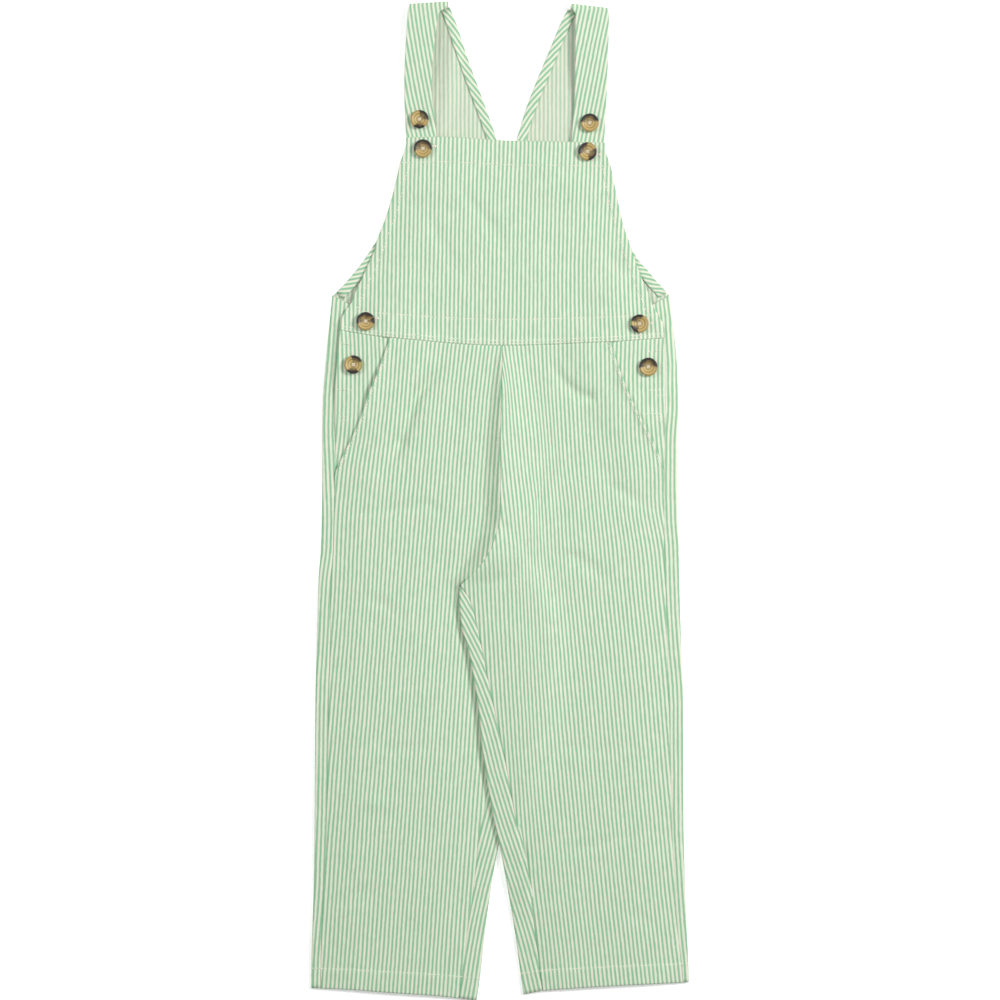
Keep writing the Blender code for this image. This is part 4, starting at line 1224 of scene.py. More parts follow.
def twill(name, green, cream):
    """Cotton twill, woven from dyed yarn: stripes along the warp, and fine slanting ribs across them.

    It shows as matt cloth whose stripes follow the grain, a little uneven from yarn to yarn.
    """
    settings = bpy.context.scene.trouser_cloth
    made, tree, shader = new_material(name, 0.86)
    shader.inputs["Sheen Weight"].default_value = 0.12
    shader.inputs["Sheen Roughness"].default_value = 0.5
    shader.inputs["Specular IOR Level"].default_value = 0.25
    place = add_node(tree, "ShaderNodeUVMap", uv_map="Cloth").outputs[0]

    def stretched(across_mm, along_mm, detail):
        """Noise from 0 to 1 whose spots have a width across the cloth and a length along it."""
        scale = (1 / (across_mm * MM), 1 / (along_mm * MM), 1.0)
        spots = add_node(tree, "ShaderNodeMapping", {"Vector": place, "Scale": scale}).outputs[0]
        inputs = {"Vector": spots, "Scale": 1.0, "Detail": detail}
        return add_node(tree, "ShaderNodeTexNoise", inputs).outputs[0]

    def shifted(value, noise_output, reach_mm):
        """A place across the cloth moved by noise, by so many mm from one end of its range to the other."""
        inputs = {0: noise_output, 1: reach_mm * MM, 2: value}
        return add_node(tree, "ShaderNodeMath", inputs, operation="MULTIPLY_ADD").outputs[0]

    def toned(colour, noise_output, low, high):
        """A colour made darker and lighter by noise."""
        inputs = {"Value": noise_output, "From Min": 0.3, "From Max": 0.7, "To Min": low, "To Max": high}
        tone = add_node(tree, "ShaderNodeMapRange", inputs).outputs[0]
        inputs = {0: colour, "Scale": tone}
        return add_node(tree, "ShaderNodeVectorMath", inputs, operation="SCALE").outputs[0]

    apart = add_node(tree, "ShaderNodeSeparateXYZ", {0: place}).outputs[0]
    # Stripes wander a little from one place to the next, and their edges are uneven from yarn to yarn
    wandering = shifted(apart, stretched(14.0, 40.0, 2.0), 1.1)
    uneven = shifted(wandering, stretched(2.2, 6.0, 1.0), 0.7)
    count = add_node(tree, "ShaderNodeMath", {0: uneven, 1: settings.period}, operation="DIVIDE").outputs[0]
    swing = add_node(tree, "ShaderNodeMath", {0: count, 1: 0.5}, operation="PINGPONG").outputs[0]
    # Warp yarns of both colours mix where stripes meet, so a stripe's edge is soft
    half = settings.green_share / 2
    stripe = add_node(
        tree,
        "ShaderNodeMapRange",
        {"Value": swing, "From Min": half - STRIPE_EDGE, "From Max": half + STRIPE_EDGE},
        interpolation_type="SMOOTHSTEP",
    ).outputs[0]
    base = add_node(
        tree, "ShaderNodeMix", {0: stripe, 6: (*green, 1), 7: (*cream, 1)}, data_type="RGBA"
    ).outputs[2]
    # Warp yarns 0.35 mm apart differ in dye, and a slub keeps to its own yarn for some centimetres
    shaded = toned(base, stretched(0.35, 22.0, 1.0), 0.94, 1.05)
    # Cotton that has been handled isn't quite even from one finger's width to the next
    shaded = toned(shaded, stretched(9.0, 13.0, 3.0), 0.985, 1.015)
    tree.links.new(shaded, shader.inputs["Base Color"])
    # Twill ribs are 0.6 mm apart in the cloth, and drawn further apart so that they show
    along_slant = {0: place, 1: RIB_SLANT}
    slant = add_node(tree, "ShaderNodeVectorMath", along_slant, operation="DOT_PRODUCT").outputs[1]
    rib_count = add_node(tree, "ShaderNodeMath", {0: slant, 1: RIB * MM}, operation="DIVIDE").outputs[0]
    rib = add_node(tree, "ShaderNodeMath", {0: rib_count, 1: 0.5}, operation="PINGPONG").outputs[0]
    # The ribs lie on low crinkles 7 to 9 mm wide
    relief = {0: stretched(7.0, 9.0, 3.0), 1: 6.0, 2: rib}
    height = add_node(tree, "ShaderNodeMath", relief, operation="MULTIPLY_ADD").outputs[0]
    raised = {"Height": height, "Strength": 0.4, "Distance": RELIEF * MM}
    bump = add_node(tree, "ShaderNodeBump", raised).outputs[0]
    tree.links.new(bump, shader.inputs["Normal"])
    return made


def once(name, make):
    """A material by its name, made the first time it is wanted."""
    return bpy.data.materials.get(name) or make(name)


def twill_face():
    settings = bpy.context.scene.trouser_cloth
    return once("Cotton twill face", lambda name: twill(name, settings.green, settings.cream))


# The twill of the wrong side, whose colours carry painted shade
def twill_inside():
    settings = bpy.context.scene.trouser_cloth
    return once("Cotton twill inside", lambda name: twill(name, settings.green_inside_shaded, settings.cream_inside_shaded))


def thread_material():
    """Cotton sewing thread: matt, with two plies twisted round each other."""
    settings = bpy.context.scene.trouser_sewing

    def make(name):
        made, tree, shader = new_material(name, 0.7)
        place = add_node(tree, "ShaderNodeTexCoord").outputs["Object"]
        # The plies twist round each other in about 1 mm, drawn as bands of painted shade in the grooves
        # between them
        twist = add_node(
            tree, "ShaderNodeTexWave", {"Vector": place, "Scale": 400.0}, bands_direction="DIAGONAL"
        ).outputs[1]
        shade = add_node(
            tree, "ShaderNodeMapRange", {"Value": twist, "To Min": 0.88, "To Max": 1.0}
        ).outputs[0]
        colour = add_node(
            tree, "ShaderNodeVectorMath", {0: tuple(settings.colour), "Scale": shade}, operation="SCALE"
        ).outputs[0]
        tree.links.new(colour, shader.inputs["Base Color"])
        return made

    return once("Cotton thread", make)


def button_material():
    """Polyester resin cast to look like tortoiseshell: polished, amber with dark clouds."""
    settings = bpy.context.scene.trouser_buttons

    def make(name):
        made, tree, shader = new_material(name, 0.5)
        shader.inputs["IOR"].default_value = 1.55
        dark = add_node(tree, "ShaderNodeAttribute", attribute_name="dark").outputs["Fac"]
        out = add_node(tree, "ShaderNodeAttribute", attribute_name="out").outputs["Fac"]
        place = add_node(tree, "ShaderNodeTexCoord").outputs["Object"]
        # Clouds 3 mm wide in the cast resin
        clouds = {"Vector": place, "Scale": 330.0, "Detail": 4.0}
        cloud = add_node(tree, "ShaderNodeTexNoise", clouds).outputs[0]
        blots = {0: cloud, 1: 0.7, 2: dark}
        blot = add_node(tree, "ShaderNodeMath", blots, operation="MULTIPLY_ADD").outputs[0]
        share = add_node(
            tree,
            "ShaderNodeMapRange",
            {"Value": blot, "From Min": 0.4, "From Max": 1.2},
            interpolation_type="SMOOTHSTEP",
        ).outputs[0]
        dyes = {0: share, 6: (*settings.amber, 1), 7: (*settings.dark, 1)}
        colour = add_node(tree, "ShaderNodeMix", dyes, data_type="RGBA").outputs[2]
        # Turning leaves rings about 2.3 mm apart; they are drawn lighter and darker than the resin, as
        # painted highlights and shade on the turned grooves
        turns = add_node(tree, "ShaderNodeMath", {0: out, 1: 3.4}, operation="MULTIPLY").outputs[0]
        ring = add_node(tree, "ShaderNodeMath", {0: turns, 1: 0.5}, operation="PINGPONG").outputs[0]
        tone = add_node(
            tree, "ShaderNodeMapRange", {"Value": ring, "From Max": 0.5, "To Min": 0.55, "To Max": 1.2}
        ).outputs[0]
        toned = {0: colour, "Scale": tone}
        rings_and_painted_highlights = add_node(tree, "ShaderNodeVectorMath", toned, operation="SCALE").outputs[0]
        tree.links.new(rings_and_painted_highlights, shader.inputs["Base Color"])
        return made

    return once("Tortoiseshell polyester", make)


def back_floor_edges(side, y):
    """Where the back's flat part ends at a height: its armhole or side, and its neck, centre or inner leg."""
    outward = OUTWARD[side]
    if y >= HIP_Y:
        outer = armhole[side](y)
    else:
        outer = outer_fold[side](y) - outward * FOLD_REACH
    if y >= NECK_FOOT_Y:
        inner = neck[side](y)
    elif y >= CROTCH_Y:
        inner = centre_back(y) + outward * SEAM
    else:
        parted = soft((CROTCH_Y - y) / CROTCH_STEP)
        inner = inner_fold[side](y) + outward * (FOLD_REACH * parted + SEAM * (1 - parted))
    return outer, inner


def back_point(side, x, y):
    z = BACK_Z + creases(f"back_{side}", x, y) + leg_lift(side, x, y)
    return x, y + hem_warp(side, x, y), z, back_cloth(side, x, y), y


def side_wrap(side, rows):
    """From the side fold onto the front: the button stand, and below it the strip to the side seam."""
    outward = OUTWARD[side]
    grid = []
    for y in rows:
        start = back_floor_edges(side, y)[0]
        sewn = ramp(PLACKET_FOOT_Y - y, SIDE_SEAM_START)
        ends = front_edge[side](y) if y < PLACKET_FOOT_Y - 0.5 else stand_edge[side](y)
        reach = min(FOLD_ARC + abs(start - ends), (HIP_Y - y) * STAND_TOP_SLOPE)
        row = []
        for along in wrap_lengths(reach) + [reach + past * sewn for past in TUCK_PAST]:
            x, rise = fold_point(start, outward, along)
            z = BACK_Z + rise + (crown(side, x, y) + ruffle(x, y)) * soft(rise / FOLD_RADIUS)
            z -= sewn * tuck(reach - along)
            flat_x, flat_y = laid_open(outer_fold[side], y, outward, along - FOLD_ARC / 2)
            row.append((x, y + hem_warp(side, x, y), z, back_cloth(side, flat_x, flat_y), flat_y))
        grid.append(row)
    return grid


def inner_wrap(side, rows):
    """From the inner leg's fold onto the front, as far as the inseam."""
    outward = OUTWARD[side]
    grid = []
    for y in rows:
        start = back_floor_edges(side, y)[1]
        sewn = ramp(CROTCH_Y - y, INSEAM_START)
        reach = FOLD_ARC + abs(start - inseam[side](y)) if y < CROTCH_Y else 0.0
        lift = leg_lift(side, start, y)
        row = []
        for along in wrap_lengths(reach) + [reach + past * sewn for past in TUCK_PAST]:
            x, rise = fold_point(start, -outward, along)
            over = along - FOLD_ARC / 2
            grain = back_cloth if over < 0 else wrap_cloth
            z = BACK_Z + rise + lift + (crown(side, x, y) + ruffle(x, y)) * soft(rise / FOLD_RADIUS)
            z -= sewn * tuck(reach - along)
            across_cloth = grain(side, inner_fold[side](y) + outward * abs(over), y)
            row.append((x, y + hem_warp(side, x, y), z, across_cloth, y))
        grid.append(row)
    return grid


def shoulder_line(side, count):
    """Points of the back's last flat row, where the strap leaves the floor to fold over the shoulder."""
    low, high = SHOULDER[side]
    edges = armhole[side](low), neck[side](high)
    line = []
    for x in across(*edges, count):
        y = mix(low, high, (x - edges[0]) / (edges[1] - edges[0])) - SHOULDER_REACH
        line.append((x, y, BACK_Z, back_cloth(side, x, y), y))
    return line


def over_shoulder(side, line, count):
    """Round the shoulder fold and down the front of the strap to its tail."""
    grid = []
    for k in range(ARC_STEPS + 1):
        turn = math.pi * k / ARC_STEPS
        out, up = SHOULDER_RADIUS * math.sin(turn), SHOULDER_RADIUS * (1 - math.cos(turn))
        grid.append([(x, y + out, z + up, u, v + turn * SHOULDER_RADIUS) for x, y, z, u, v in line])
    stripe = strap_stripe[side]
    middle = line[len(line) // 2]
    offset = middle[3] - beside(stripe, middle[0], middle[1])
    for y in levels(STRAP_TOP_Y, STRAP_TAIL_Y, STEP):
        row = []
        edges = strap_outer[side](y), strap_inner[side](y)
        for x in across(*edges, count):
            z = strap_height(side, x, y) - roll(abs(x - edges[0]), abs(x - edges[1]))
            row.append((x, y, z, offset + beside(stripe, x, y), 2 * line[0][1] - y))
        grid.append(row)
    return grid


def make_back(side):
    """Leg, seat, bodice and strap in one, from the hem up and over the shoulder to the strap's tail."""
    count = EVEN_COLUMNS["back"]
    rows = levels(BACK_TOP_Y, HEM_LINE_Y, STEP, BACK_LEVELS)
    rows = sorted({*rows, *STAND_TOP_LEVELS, *PLACKET_FOOT_LEVELS}, reverse=True)
    shoulder = shoulder_line(side, count)
    flat = [shoulder]
    for y in rows:
        flat.append([back_point(side, x, y) for x in across(*back_floor_edges(side, y), count)])
    grids = (
        flat,
        side_wrap(side, [y for y in rows if y <= HIP_Y]),
        inner_wrap(side, [y for y in rows if y <= CROTCH_Y]),
        over_shoulder(side, shoulder, count),
    )
    return cloth(f"twill_back_{side}", grids, f"back_{side}", BACK_CUT, faces_up=False)


def above_waist():
    """Rows of the cloth that goes on under the bib past the waist seam, from the top."""
    return [WAIST_Y + past for past in reversed(TUCK_PAST)]


def make_front_leg(side):
    """From the waist seam and the slant pocket edge to the hem, with the centre seam and the inseam."""
    outward = OUTWARD[side]
    rows = []
    for y in above_waist() + levels(WAIST_Y, HEM_LINE_Y, STEP, LEG_LEVELS, (WAIST_Y, HEM_ROW, HEM_LINE_Y)):
        level = min(y, WAIST_Y)
        outer = front_edge[side](level) - outward * SEAM
        if level >= POCKET_FOOT_Y:
            outer = pocket_edge[side](level)
        inner = (centre_front(level) if level >= CROTCH_Y else inseam[side](level)) + outward * SEAM
        # The left front goes on under the right one along the centre seam
        sewn = ramp(level - CROTCH_Y, CENTRE_SEAM_START) if side == "left" else 0.0
        tucked = [inner - outward * past * sewn for past in TUCK_PAST]
        row = []
        for x in across(outer, inner, EVEN_COLUMNS["front_leg"]) + tucked:
            inside = outward * (x - inner)
            over = roll(abs(x - outer), inside + EDGE_REACH * sewn, y - HEM_LINE_Y)
            z = leg_height(side, x, level) - over - max(WAIST_TUCK * tuck(WAIST_Y - y), sewn * tuck(inside))
            row.append((x, y + leg_warp(side, x, level), z, leg_cloth[side](x, y), y))
        rows.append(row)
    return cloth(f"twill_front_leg_{side}", (rows,), f"front_leg_{side}", LEG_CUT)


def make_pocket_side(side):
    """The hip piece behind the slant edge, from the waist seam to the pocket's foot."""
    outward = OUTWARD[side]
    rows = []
    foot = POCKET_FOOT_Y + POCKET_SIDE_END
    for y in above_waist() + levels(WAIST_Y, foot, STEP, POCKET_LEVELS, (WAIST_Y,)):
        level = min(y, WAIST_Y)
        outer = front_edge[side](level) - outward * SEAM
        inner = pocket_edge[side](level) - outward * POCKET_UNDERLAP
        row = []
        for x in across(outer, inner, EVEN_COLUMNS["pocket_side"]):
            z = pocket_height(side, x, level) - roll(abs(x - outer)) - WAIST_TUCK * tuck(WAIST_Y - y)
            row.append((x, y + waist_warp(x, level) - SEAM, z, beside(pocket_stripe[side], x, y), y))
        rows.append(row)
    return cloth(f"twill_pocket_side_{side}", (rows,), f"pocket_side_{side}", POCKET_CUT)


def make_bib():
    """One piece from the top hem to the waist seam."""
    rows = []
    for y in levels(BIB_TOP_Y, WAIST_Y, STEP, BIB_LEVELS, (BIB_TOP_Y, BIB_HEM_ROW, *WAIST_ROWS, WAIST_Y)):
        left, right = bib_side["left"](y), bib_side["right"](y)
        row = []
        for x in across(left, right, EVEN_COLUMNS["bib"]):
            z = bib_height(x, y) - roll(x - left, right - x, BIB_TOP_Y - y)
            row.append((x, y + bib_warp(x, y), z, bib_cloth(x, y), y))
        rows.append(row)
    return cloth("twill_bib", (rows,), "bib_front", BIB_CUT)


def make_edge_hem(name, side, points, inward, node, foot=None):
    """A turned hem: the edge's own cloth folded back onto the wrong side, so its stripes run mirrored."""
    rows = []
    for i, (x, y) in enumerate(points):
        before, after = points[max(i - 1, 0)], points[min(i + 1, len(points) - 1)]
        dx, dy = after[0] - before[0], after[1] - before[1]
        length = math.hypot(dx, dy)
        nx, ny = inward * dy / length, -inward * dx / length
        inner = (x + nx * HEM_WIDTH, y + ny * HEM_WIDTH)
        if foot and i == len(points) - 1:
            inner = foot
        row = []
        for share in HEM_SHARES:
            px, py = mix(x + nx * GAP, inner[0], share), mix(y + ny * GAP, inner[1], share)
            back = share * HEM_WIDTH
            fx, fy = x - nx * back, y - ny * back
            drop = roll(share * HEM_WIDTH, (1 - share) * HEM_WIDTH)
            z = HEM_Z + creases(f"back_{side}", px, py) - drop
            row.append((px, py, z, back_cloth(side, fx, fy), fy))
        rows.append(row)
    length = sum(math.dist(a, b) for a, b in zip(points, points[1:]))
    return cloth(name, (rows,), node, (HEM_WIDTH + HEM_CUT_EASE[0], length + HEM_CUT_EASE[1]))


def make_neck_hem(side):
    outward = OUTWARD[side]
    top = SHOULDER[side][1] - SHOULDER_REACH - 3 * GAP
    points = [(neck[side](y), y) for y in levels(top, NECK_FOOT_Y + NECK_HEM_END, STEP)]
    centre = neck[side](NECK_FOOT_Y) + outward * SEAM
    points.append((centre, NECK_FOOT_Y - GAP))
    name = f"twill_neck_hem_{side}"
    return make_edge_hem(name, side, points, -outward, f"neck_hem_{side}", (centre, NECK_HEM_FOOT_Y))


def make_armhole_hem(side):
    outward = OUTWARD[side]
    top = SHOULDER[side][0] - SHOULDER_REACH - GAP
    rows = levels(top, HIP_Y + ARMHOLE_HEM_END, STEP, ARMHOLE_LEVELS)
    points = [(armhole[side](y), y) for y in rows]
    return make_edge_hem(f"twill_armhole_hem_{side}", side, points, outward, f"armhole_hem_{side}")


def button_seat(x, y):
    """Height of a button's underside: on the highest cloth within its reach."""
    radius = bpy.context.scene.trouser_buttons.diameter / MM / 2
    reach = (-radius, 0.0, radius)
    side = "left" if x < centre_front(y) else "right"
    if y > BIB_TOP_Y:
        top = max(strap_height(side, x, y + dy) for dy in reach)
    elif y > WAIST_Y:
        top = max(bib_height(x + dx, y + dy) for dx in reach for dy in reach)
    else:
        top = max(pocket_height(side, x + dx, y + dy) for dx in reach for dy in reach)
    return top + CLOTH / 2 + GAP


def arc_share(turn, middle, width):
    """How far an angle lies in a dark arc, soft at the arc's ends; all in degrees."""
    away = abs((turn - middle + 180.0) % 360.0 - 180.0)
    return soft((width / 2 - away) / DARK_SOFTNESS + 0.5) if width else 0.0


def make_button(row):
    """A four-hole button with a raised rim, and its dark clouds laid on by angle."""
    settings = bpy.context.scene.trouser_buttons
    radius, height = settings.diameter / MM / 2, settings.height / MM
    seat = button_seat(row["x"], row["y"])
    turns = [2 * math.pi * k / BUTTON_STEPS for k in range(BUTTON_STEPS)]
    mesh = bmesh.new()
    rings = []
    for out, up in PROFILE:
        reach, rise = out * radius * MM, up * height * MM
        angles = turns if out else [0.0]
        rings.append([mesh.verts.new((reach * math.cos(t), reach * math.sin(t), rise)) for t in angles])
    for first, second in zip(rings, rings[1:]):
        for k in range(BUTTON_STEPS):
            after = (k + 1) % BUTTON_STEPS
            if len(first) == 1:
                mesh.faces.new((first[0], second[k], second[after]))
            elif len(second) == 1:
                mesh.faces.new((first[k], second[0], first[after]))
            else:
                mesh.faces.new((first[k], second[k], second[after], first[after]))
    bmesh.ops.recalc_face_normals(mesh, faces=mesh.faces)
    piece = placed(f"resin_button_{row['place']}", mesh)
    cutter = hole_cutter(height)
    cut = piece.modifiers.new("Holes", "BOOLEAN")
    cut.object = cutter
    finished(piece)
    bpy.data.objects.remove(cutter)
    data = piece.data
    dark = data.attributes.new("dark", "FLOAT", "POINT")
    turned = data.attributes.new("out", "FLOAT", "POINT")
    for point, darkness, distance in zip(data.vertices, dark.data, turned.data):
        out = math.hypot(point.co.x, point.co.y) / (radius * MM)
        turn = math.degrees(math.atan2(point.co.y, point.co.x))
        first = arc_share(turn, row["dark"], row["dark_width"])
        second = arc_share(turn, row["second"], row["second_width"])
        inner = SMOKE * ramp(out, SMOKE_START)
        darkness.value = max(first, second) * mix(inner, 1.0, ramp(out, RIM_START))
        distance.value = out
    data.transform(Matrix.Translation((row["x"] * MM, row["y"] * MM, seat * MM)))
    data.shade_smooth()
    data.set_sharp_from_angle(angle=math.radians(SHARP_EDGE))
    data.materials.clear()
    data.materials.append(button_material())
    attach(piece, BODY)
    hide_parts(f"button_{row['place']}")
    return piece


def hole_cutter(height):
    """Four pegs that cut a button's thread holes."""
    hole = bpy.context.scene.trouser_buttons.hole
    mesh = bmesh.new()
    for quarter in range(4):
        angle = math.pi / 4 + quarter * math.pi / 2
        made = bmesh.ops.create_cone(
            mesh,
            cap_ends=True,
            segments=HOLE_STEPS,
            radius1=hole / 2,
            radius2=hole / 2,
            depth=3 * height * MM,
        )
        centre = (BUTTON_HOLE_RING * math.cos(angle) * MM, BUTTON_HOLE_RING * math.sin(angle) * MM, 0)
        bmesh.ops.translate(mesh, verts=made["verts"], vec=centre)
    cutter = placed("Button holes", mesh)
    cutter.hide_render = True
    return cutter


def stitch_tree():
    """Geometry Nodes that lay a stitch at each step along a line."""
    tree = bpy.data.node_groups.new("Topstitch", "GeometryNodeTree")
    tree.interface.new_socket("Geometry", in_out="INPUT", socket_type="NodeSocketGeometry")
    for name in ("Stitch length", "Stitch space", "Thread width"):
        tree.interface.new_socket(name, in_out="INPUT", socket_type="NodeSocketFloat")
    tree.interface.new_socket("Thread", in_out="INPUT", socket_type="NodeSocketMaterial")
    tree.interface.new_socket("Geometry", in_out="OUTPUT", socket_type="NodeSocketGeometry")
    given = add_node(tree, "NodeGroupInput").outputs
    pitch = add_node(tree, "ShaderNodeMath", {0: given["Stitch length"], 1: given["Stitch space"]}).outputs[0]
    line = add_node(tree, "GeometryNodeMeshToCurve", {"Mesh": given["Geometry"]}).outputs[0]
    steps = add_node(
        tree, "GeometryNodeResampleCurve", {"Curve": line, "Length": pitch}, mode="LENGTH"
    ).outputs[0]
    tangent = add_node(tree, "GeometryNodeInputTangent").outputs[0]
    turn = add_node(tree, "FunctionNodeAlignRotationToVector", {"Vector": tangent}, axis="X").outputs[0]
    ball = add_node(
        tree, "GeometryNodeMeshUVSphere", {"Segments": 6, "Rings": 4, "Radius": 0.5}
    ).outputs["Mesh"]
    size = add_node(
        tree,
        "ShaderNodeCombineXYZ",
        {0: given["Stitch length"], 1: given["Thread width"], 2: given["Thread width"]},
    ).outputs[0]
    stitches = {"Points": steps, "Instance": ball, "Rotation": turn, "Scale": size}
    laid = add_node(tree, "GeometryNodeInstanceOnPoints", stitches).outputs[0]
    real = add_node(tree, "GeometryNodeRealizeInstances", {"Geometry": laid}).outputs[0]
    smooth = add_node(tree, "GeometryNodeSetShadeSmooth", {"Geometry": real}).outputs[0]
    dressed = {"Geometry": smooth, "Material": given["Thread"]}
    done = add_node(tree, "GeometryNodeSetMaterial", dressed).outputs[0]
    add_node(tree, "NodeGroupOutput", {"Geometry": done})
    return tree


def topstitch(name, lines):
    """Stitches along lines of points in mm that lie on the cloth's surface."""
    settings = bpy.context.scene.trouser_sewing
    mesh = bmesh.new()
    for line in lines:
        points = [mesh.verts.new([c * MM for c in p]) for p in line]
        for a, b in zip(points, points[1:]):
            mesh.edges.new((a, b))
    piece = placed(name, mesh)
    tree = bpy.data.node_groups.get("Topstitch") or stitch_tree()
    sewn = piece.modifiers.new("Stitches", "NODES")
    sewn.node_group = tree
    values = {
        "Stitch length": settings.stitch,
        "Stitch space": settings.space,
        "Thread width": settings.thread,
        "Thread": thread_material(),
    }
    for item in tree.interface.items_tree:
        if item.name in values:
            sewn[item.identifier] = values[item.name]
    finished(piece)
    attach(piece, BODY)
    return piece


def surface():
    """From the middle of the cloth to the middle of a thread that lies in it."""
    return bpy.context.scene.trouser_cloth.thickness / MM / 2 + THREAD_PROUD


def on_leg(side, x, y):
    """A point on top of a front leg, by the heights of its grid."""
    return x, y + leg_warp(side, x, y), leg_height(side, x, y) + surface()


def on_bib(x, y):
    return x, y + bib_warp(x, y), bib_height(x, y) + surface()


def on_pocket(side, x, y):
    return x, y + waist_warp(x, y), pocket_height(side, x, y) + surface()


def on_wrap(side, x, y):
    """A point on top of the cloth that comes round a leg from the back."""
    return x, y + hem_warp(side, x, y), FRONT_Z + crown(side, x, y) + ruffle(x, y) + surface()


def steps(low, high):
    """Places along a row of stitches."""
    count = max(2, round(abs(high - low) / STITCH_POINTS))
    return [mix(low, high, k / count) for k in range(count + 1)]


def sew_bib():
    """Top hem, the rows over the waist seam, those along its slanting sides, and the buttonholes' ends."""
    lines = []
    for y in (BIB_HEM_ROW, *WAIST_ROWS):
        left, right = bib_side["left"](y) + ROW_END, bib_side["right"](y) - ROW_END
        lines.append([on_bib(x, y) for x in steps(left, right)])
    for side, outward in OUTWARD.items():
        rows = steps(BIB_HEM_ROW, WAIST_ROWS[0])
        lines.append([on_bib(bib_side[side](y) - outward * BIB_EDGE_ROW, y) for y in rows])
    for button in named(BUTTON_COLUMNS, BUTTONS):
        if button["place"].startswith(("bib", "waist")):
            for rise in (-HOLE_HALF, 0.0, HOLE_HALF):
                lines.append([on_bib(button["x"] + x, button["y"] + rise) for x in HOLE_END])
    return topstitch("stitches_bib", lines)


def sew_leg(side):
    """Slant pocket edge, the hem all across the leg, and the tacks of the button opening."""
    outward = OUTWARD[side]
    rows = steps(WAIST_ROWS[2] - SLANT_ROW_END, POCKET_FOOT_Y + SLANT_ROW_END)
    pocket = [on_leg(side, pocket_edge[side](y) - outward * POCKET_ROW, y) for y in rows]
    outer, inner = outer_fold[side](HEM_ROW), inner_fold[side](HEM_ROW)
    edge, seam = front_edge[side](HEM_ROW), inseam[side](HEM_ROW)
    short = outward * ROW_END
    hem_rows = [
        [on_wrap(side, x, HEM_ROW) for x in steps(outer - short, edge + outward * SEAM)],
        [on_leg(side, x, HEM_ROW) for x in steps(edge - short, seam + short)],
        [on_wrap(side, x, HEM_ROW) for x in steps(seam - outward * SEAM, inner + short)],
    ]
    tacks = []
    for tack in named(TACK_COLUMNS, TACKS[side]):
        ends = ((tack["x"], tack["y"]), (tack["to_x"], tack["to_y"]))
        tacks.append([on_pocket(side, *end) for end in ends])
    return topstitch(f"stitches_leg_{side}", [pocket, *hem_rows, *tacks])


def sew_buttons():
    """The threads that cross in the middle of each button, from hole to hole."""
    height = bpy.context.scene.trouser_buttons.height / MM
    reach = BUTTON_HOLE_RING / 2
    lines = []
    for button in named(BUTTON_COLUMNS, BUTTONS):
        x, y = button["x"], button["y"]
        z = button_seat(x, y) + THREAD_UP * height
        lines += [[(x - turn * reach, y - reach, z), (x + turn * reach, y + reach, z)] for turn in (-1, 1)]
    return topstitch("stitches_buttons", lines)


def make_floor(settings):
    """Matt white paper on a light table, which keeps it white beside the garment."""
    made, tree, shader = new_material("Matt white paper", 0.9)
    place = add_node(tree, "ShaderNodeTexCoord").outputs["Object"]
    # Fibres clump 2.5 mm wide
    grain = add_node(tree, "ShaderNodeTexNoise", {"Vector": place, "Scale": 400.0}).outputs[0]
    tone = add_node(
        tree, "ShaderNodeMapRange", {"Value": grain, "To Min": 0.985, "To Max": 1.0}
    ).outputs[0]
    paper = add_node(
        tree, "ShaderNodeVectorMath", {0: tuple(settings.floor), "Scale": tone}, operation="SCALE"
    ).outputs[0]
    tree.links.new(paper, shader.inputs["Base Color"])
    shader.inputs["Emission Color"].default_value = (1, 1, 1, 1)
    shader.inputs["Emission Strength"].default_value = settings.glow
    mesh = bmesh.new()
    bmesh.ops.create_grid(mesh, x_segments=1, y_segments=1, size=FLOOR_REACH)
    floor = placed("paper_floor", mesh)
    floor.data.materials.append(made)
    floor.data.transform(Matrix.Translation((0, 0, -FLOOR_GAP)))


def make_lights(settings):
    """Softboxes, and even light from all round."""
    for row in named(LIGHT_COLUMNS, LIGHTS):
        name = f"{row['setting'].capitalize()} softbox"
        light = bpy.data.lights.new(name, "AREA")
        light.shape = "SQUARE"
        light.size = row["size"]
        light.energy = getattr(settings, row["setting"])
        softbox = bpy.data.objects.new(name, light)
        softbox.location = row["place"]
        softbox.visible_camera = row["aimed"]
        if row["aimed"]:
            softbox.rotation_euler = (-softbox.location).to_track_quat("-Z", "Y").to_euler()
        bpy.context.scene.collection.objects.link(softbox)
    world = bpy.data.worlds.new("Studio")
    world.use_nodes = True
    background = world.node_tree.nodes["Background"]
    background.inputs["Color"].default_value = (1, 1, 1, 1)
    background.inputs["Strength"].default_value = settings.sky
    bpy.context.scene.world = world


def make_camera(settings):
    lens = bpy.data.cameras.new("Camera")
    lens.lens = LENS
    camera = bpy.data.objects.new("Camera", lens)
    camera.location = (0, 0, settings.distance)
    bpy.context.scene.collection.objects.link(camera)
    bpy.context.scene.camera = camera
    bpy.context.scene.view_settings.view_transform = "Standard"


class MakeBib(bpy.types.Operator):
    """Make the bib"""

    bl_idname = "trousers.bib"
    bl_label = "Bib"

    def execute(self, context):
        make_bib()
        return {"FINISHED"}


class MakeFrontLegs(bpy.types.Operator):
    """Make the two front legs"""

    bl_idname = "trousers.front_legs"
    bl_label = "Front legs"

    def execute(self, context):
        for side in OUTWARD:
            make_front_leg(side)
        return {"FINISHED"}


class MakePocketSides(bpy.types.Operator):
    """Make the hip pieces behind the pockets"""

    bl_idname = "trousers.pocket_sides"
    bl_label = "Pocket sides"

    def execute(self, context):
        for side in OUTWARD:
            make_pocket_side(side)
        return {"FINISHED"}


class MakeBack(bpy.types.Operator):
    """Make the two halves of the back with their straps"""

    bl_idname = "trousers.back"
    bl_label = "Back and straps"

    def execute(self, context):
        for side in OUTWARD:
            make_back(side)
        return {"FINISHED"}


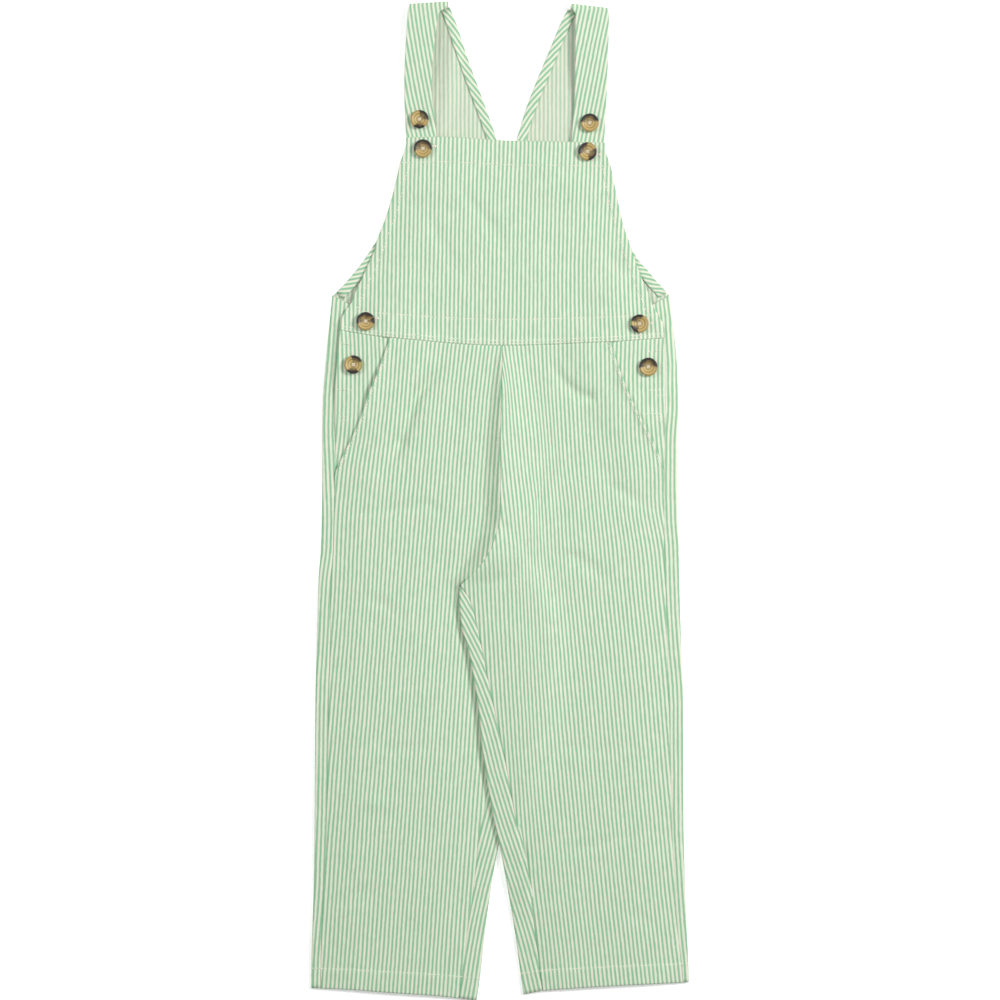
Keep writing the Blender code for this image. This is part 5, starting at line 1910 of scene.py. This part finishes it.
class MakeHems(bpy.types.Operator):
    """Make the turned hems of the neck and armholes"""

    bl_idname = "trousers.hems"
    bl_label = "Neck and armhole hems"

    def execute(self, context):
        for side in OUTWARD:
            make_neck_hem(side)
            make_armhole_hem(side)
        return {"FINISHED"}


class MakeButtons(bpy.types.Operator):
    """Make the eight buttons"""

    bl_idname = "trousers.buttons"
    bl_label = "Buttons"

    def execute(self, context):
        for button in named(BUTTON_COLUMNS, BUTTONS):
            make_button(button)
        return {"FINISHED"}


class SewCloth(bpy.types.Operator):
    """Lay the topstitching on the cloth"""

    bl_idname = "trousers.sewing"
    bl_label = "Topstitching"

    def execute(self, context):
        sew_bib()
        for side in OUTWARD:
            sew_leg(side)
        sew_buttons()
        return {"FINISHED"}


class MakeStage(bpy.types.Operator):
    """Make the floor, light and camera"""

    bl_idname = "trousers.stage"
    bl_label = "Stage"

    def execute(self, context):
        settings = context.scene.trouser_stage
        make_floor(settings)
        make_lights(settings)
        make_camera(settings)
        return {"FINISHED"}


class TrousersPanel(bpy.types.Panel):
    """Bib trousers"""

    bl_idname = "VIEW3D_PT_trousers"
    bl_label = "Bib Trousers"
    bl_space_type = "VIEW_3D"
    bl_region_type = "UI"
    bl_category = "Bib Trousers"

    def draw(self, context):
        for operator in OPERATORS:
            self.layout.operator(operator.bl_idname)
        for name in SETTINGS:
            group = getattr(context.scene, name)
            box = self.layout.box()
            for field in group.bl_rna.properties.keys():
                if field not in ("rna_type", "name"):
                    box.prop(group, field)


OPERATORS = (
    MakeBib,
    MakeFrontLegs,
    MakePocketSides,
    MakeBack,
    MakeHems,
    MakeButtons,
    SewCloth,
    MakeStage,
)
SETTINGS = {
    "trouser_cloth": ClothSettings,
    "trouser_sewing": SewingSettings,
    "trouser_buttons": ButtonSettings,
    "trouser_stage": StageSettings,
}


def register():
    for group in (*SETTINGS.values(), *OPERATORS, TrousersPanel):
        bpy.utils.register_class(group)
    for name, group in SETTINGS.items():
        setattr(bpy.types.Scene, name, bpy.props.PointerProperty(type=group))


def unregister():
    for name in SETTINGS:
        delattr(bpy.types.Scene, name)
    for group in reversed((*SETTINGS.values(), *OPERATORS, TrousersPanel)):
        bpy.utils.unregister_class(group)


def main():
    register()
    for operator in OPERATORS:
        family, name = operator.bl_idname.split(".")
        getattr(getattr(bpy.ops, family), name)()


if __name__ == "__main__":
    main()
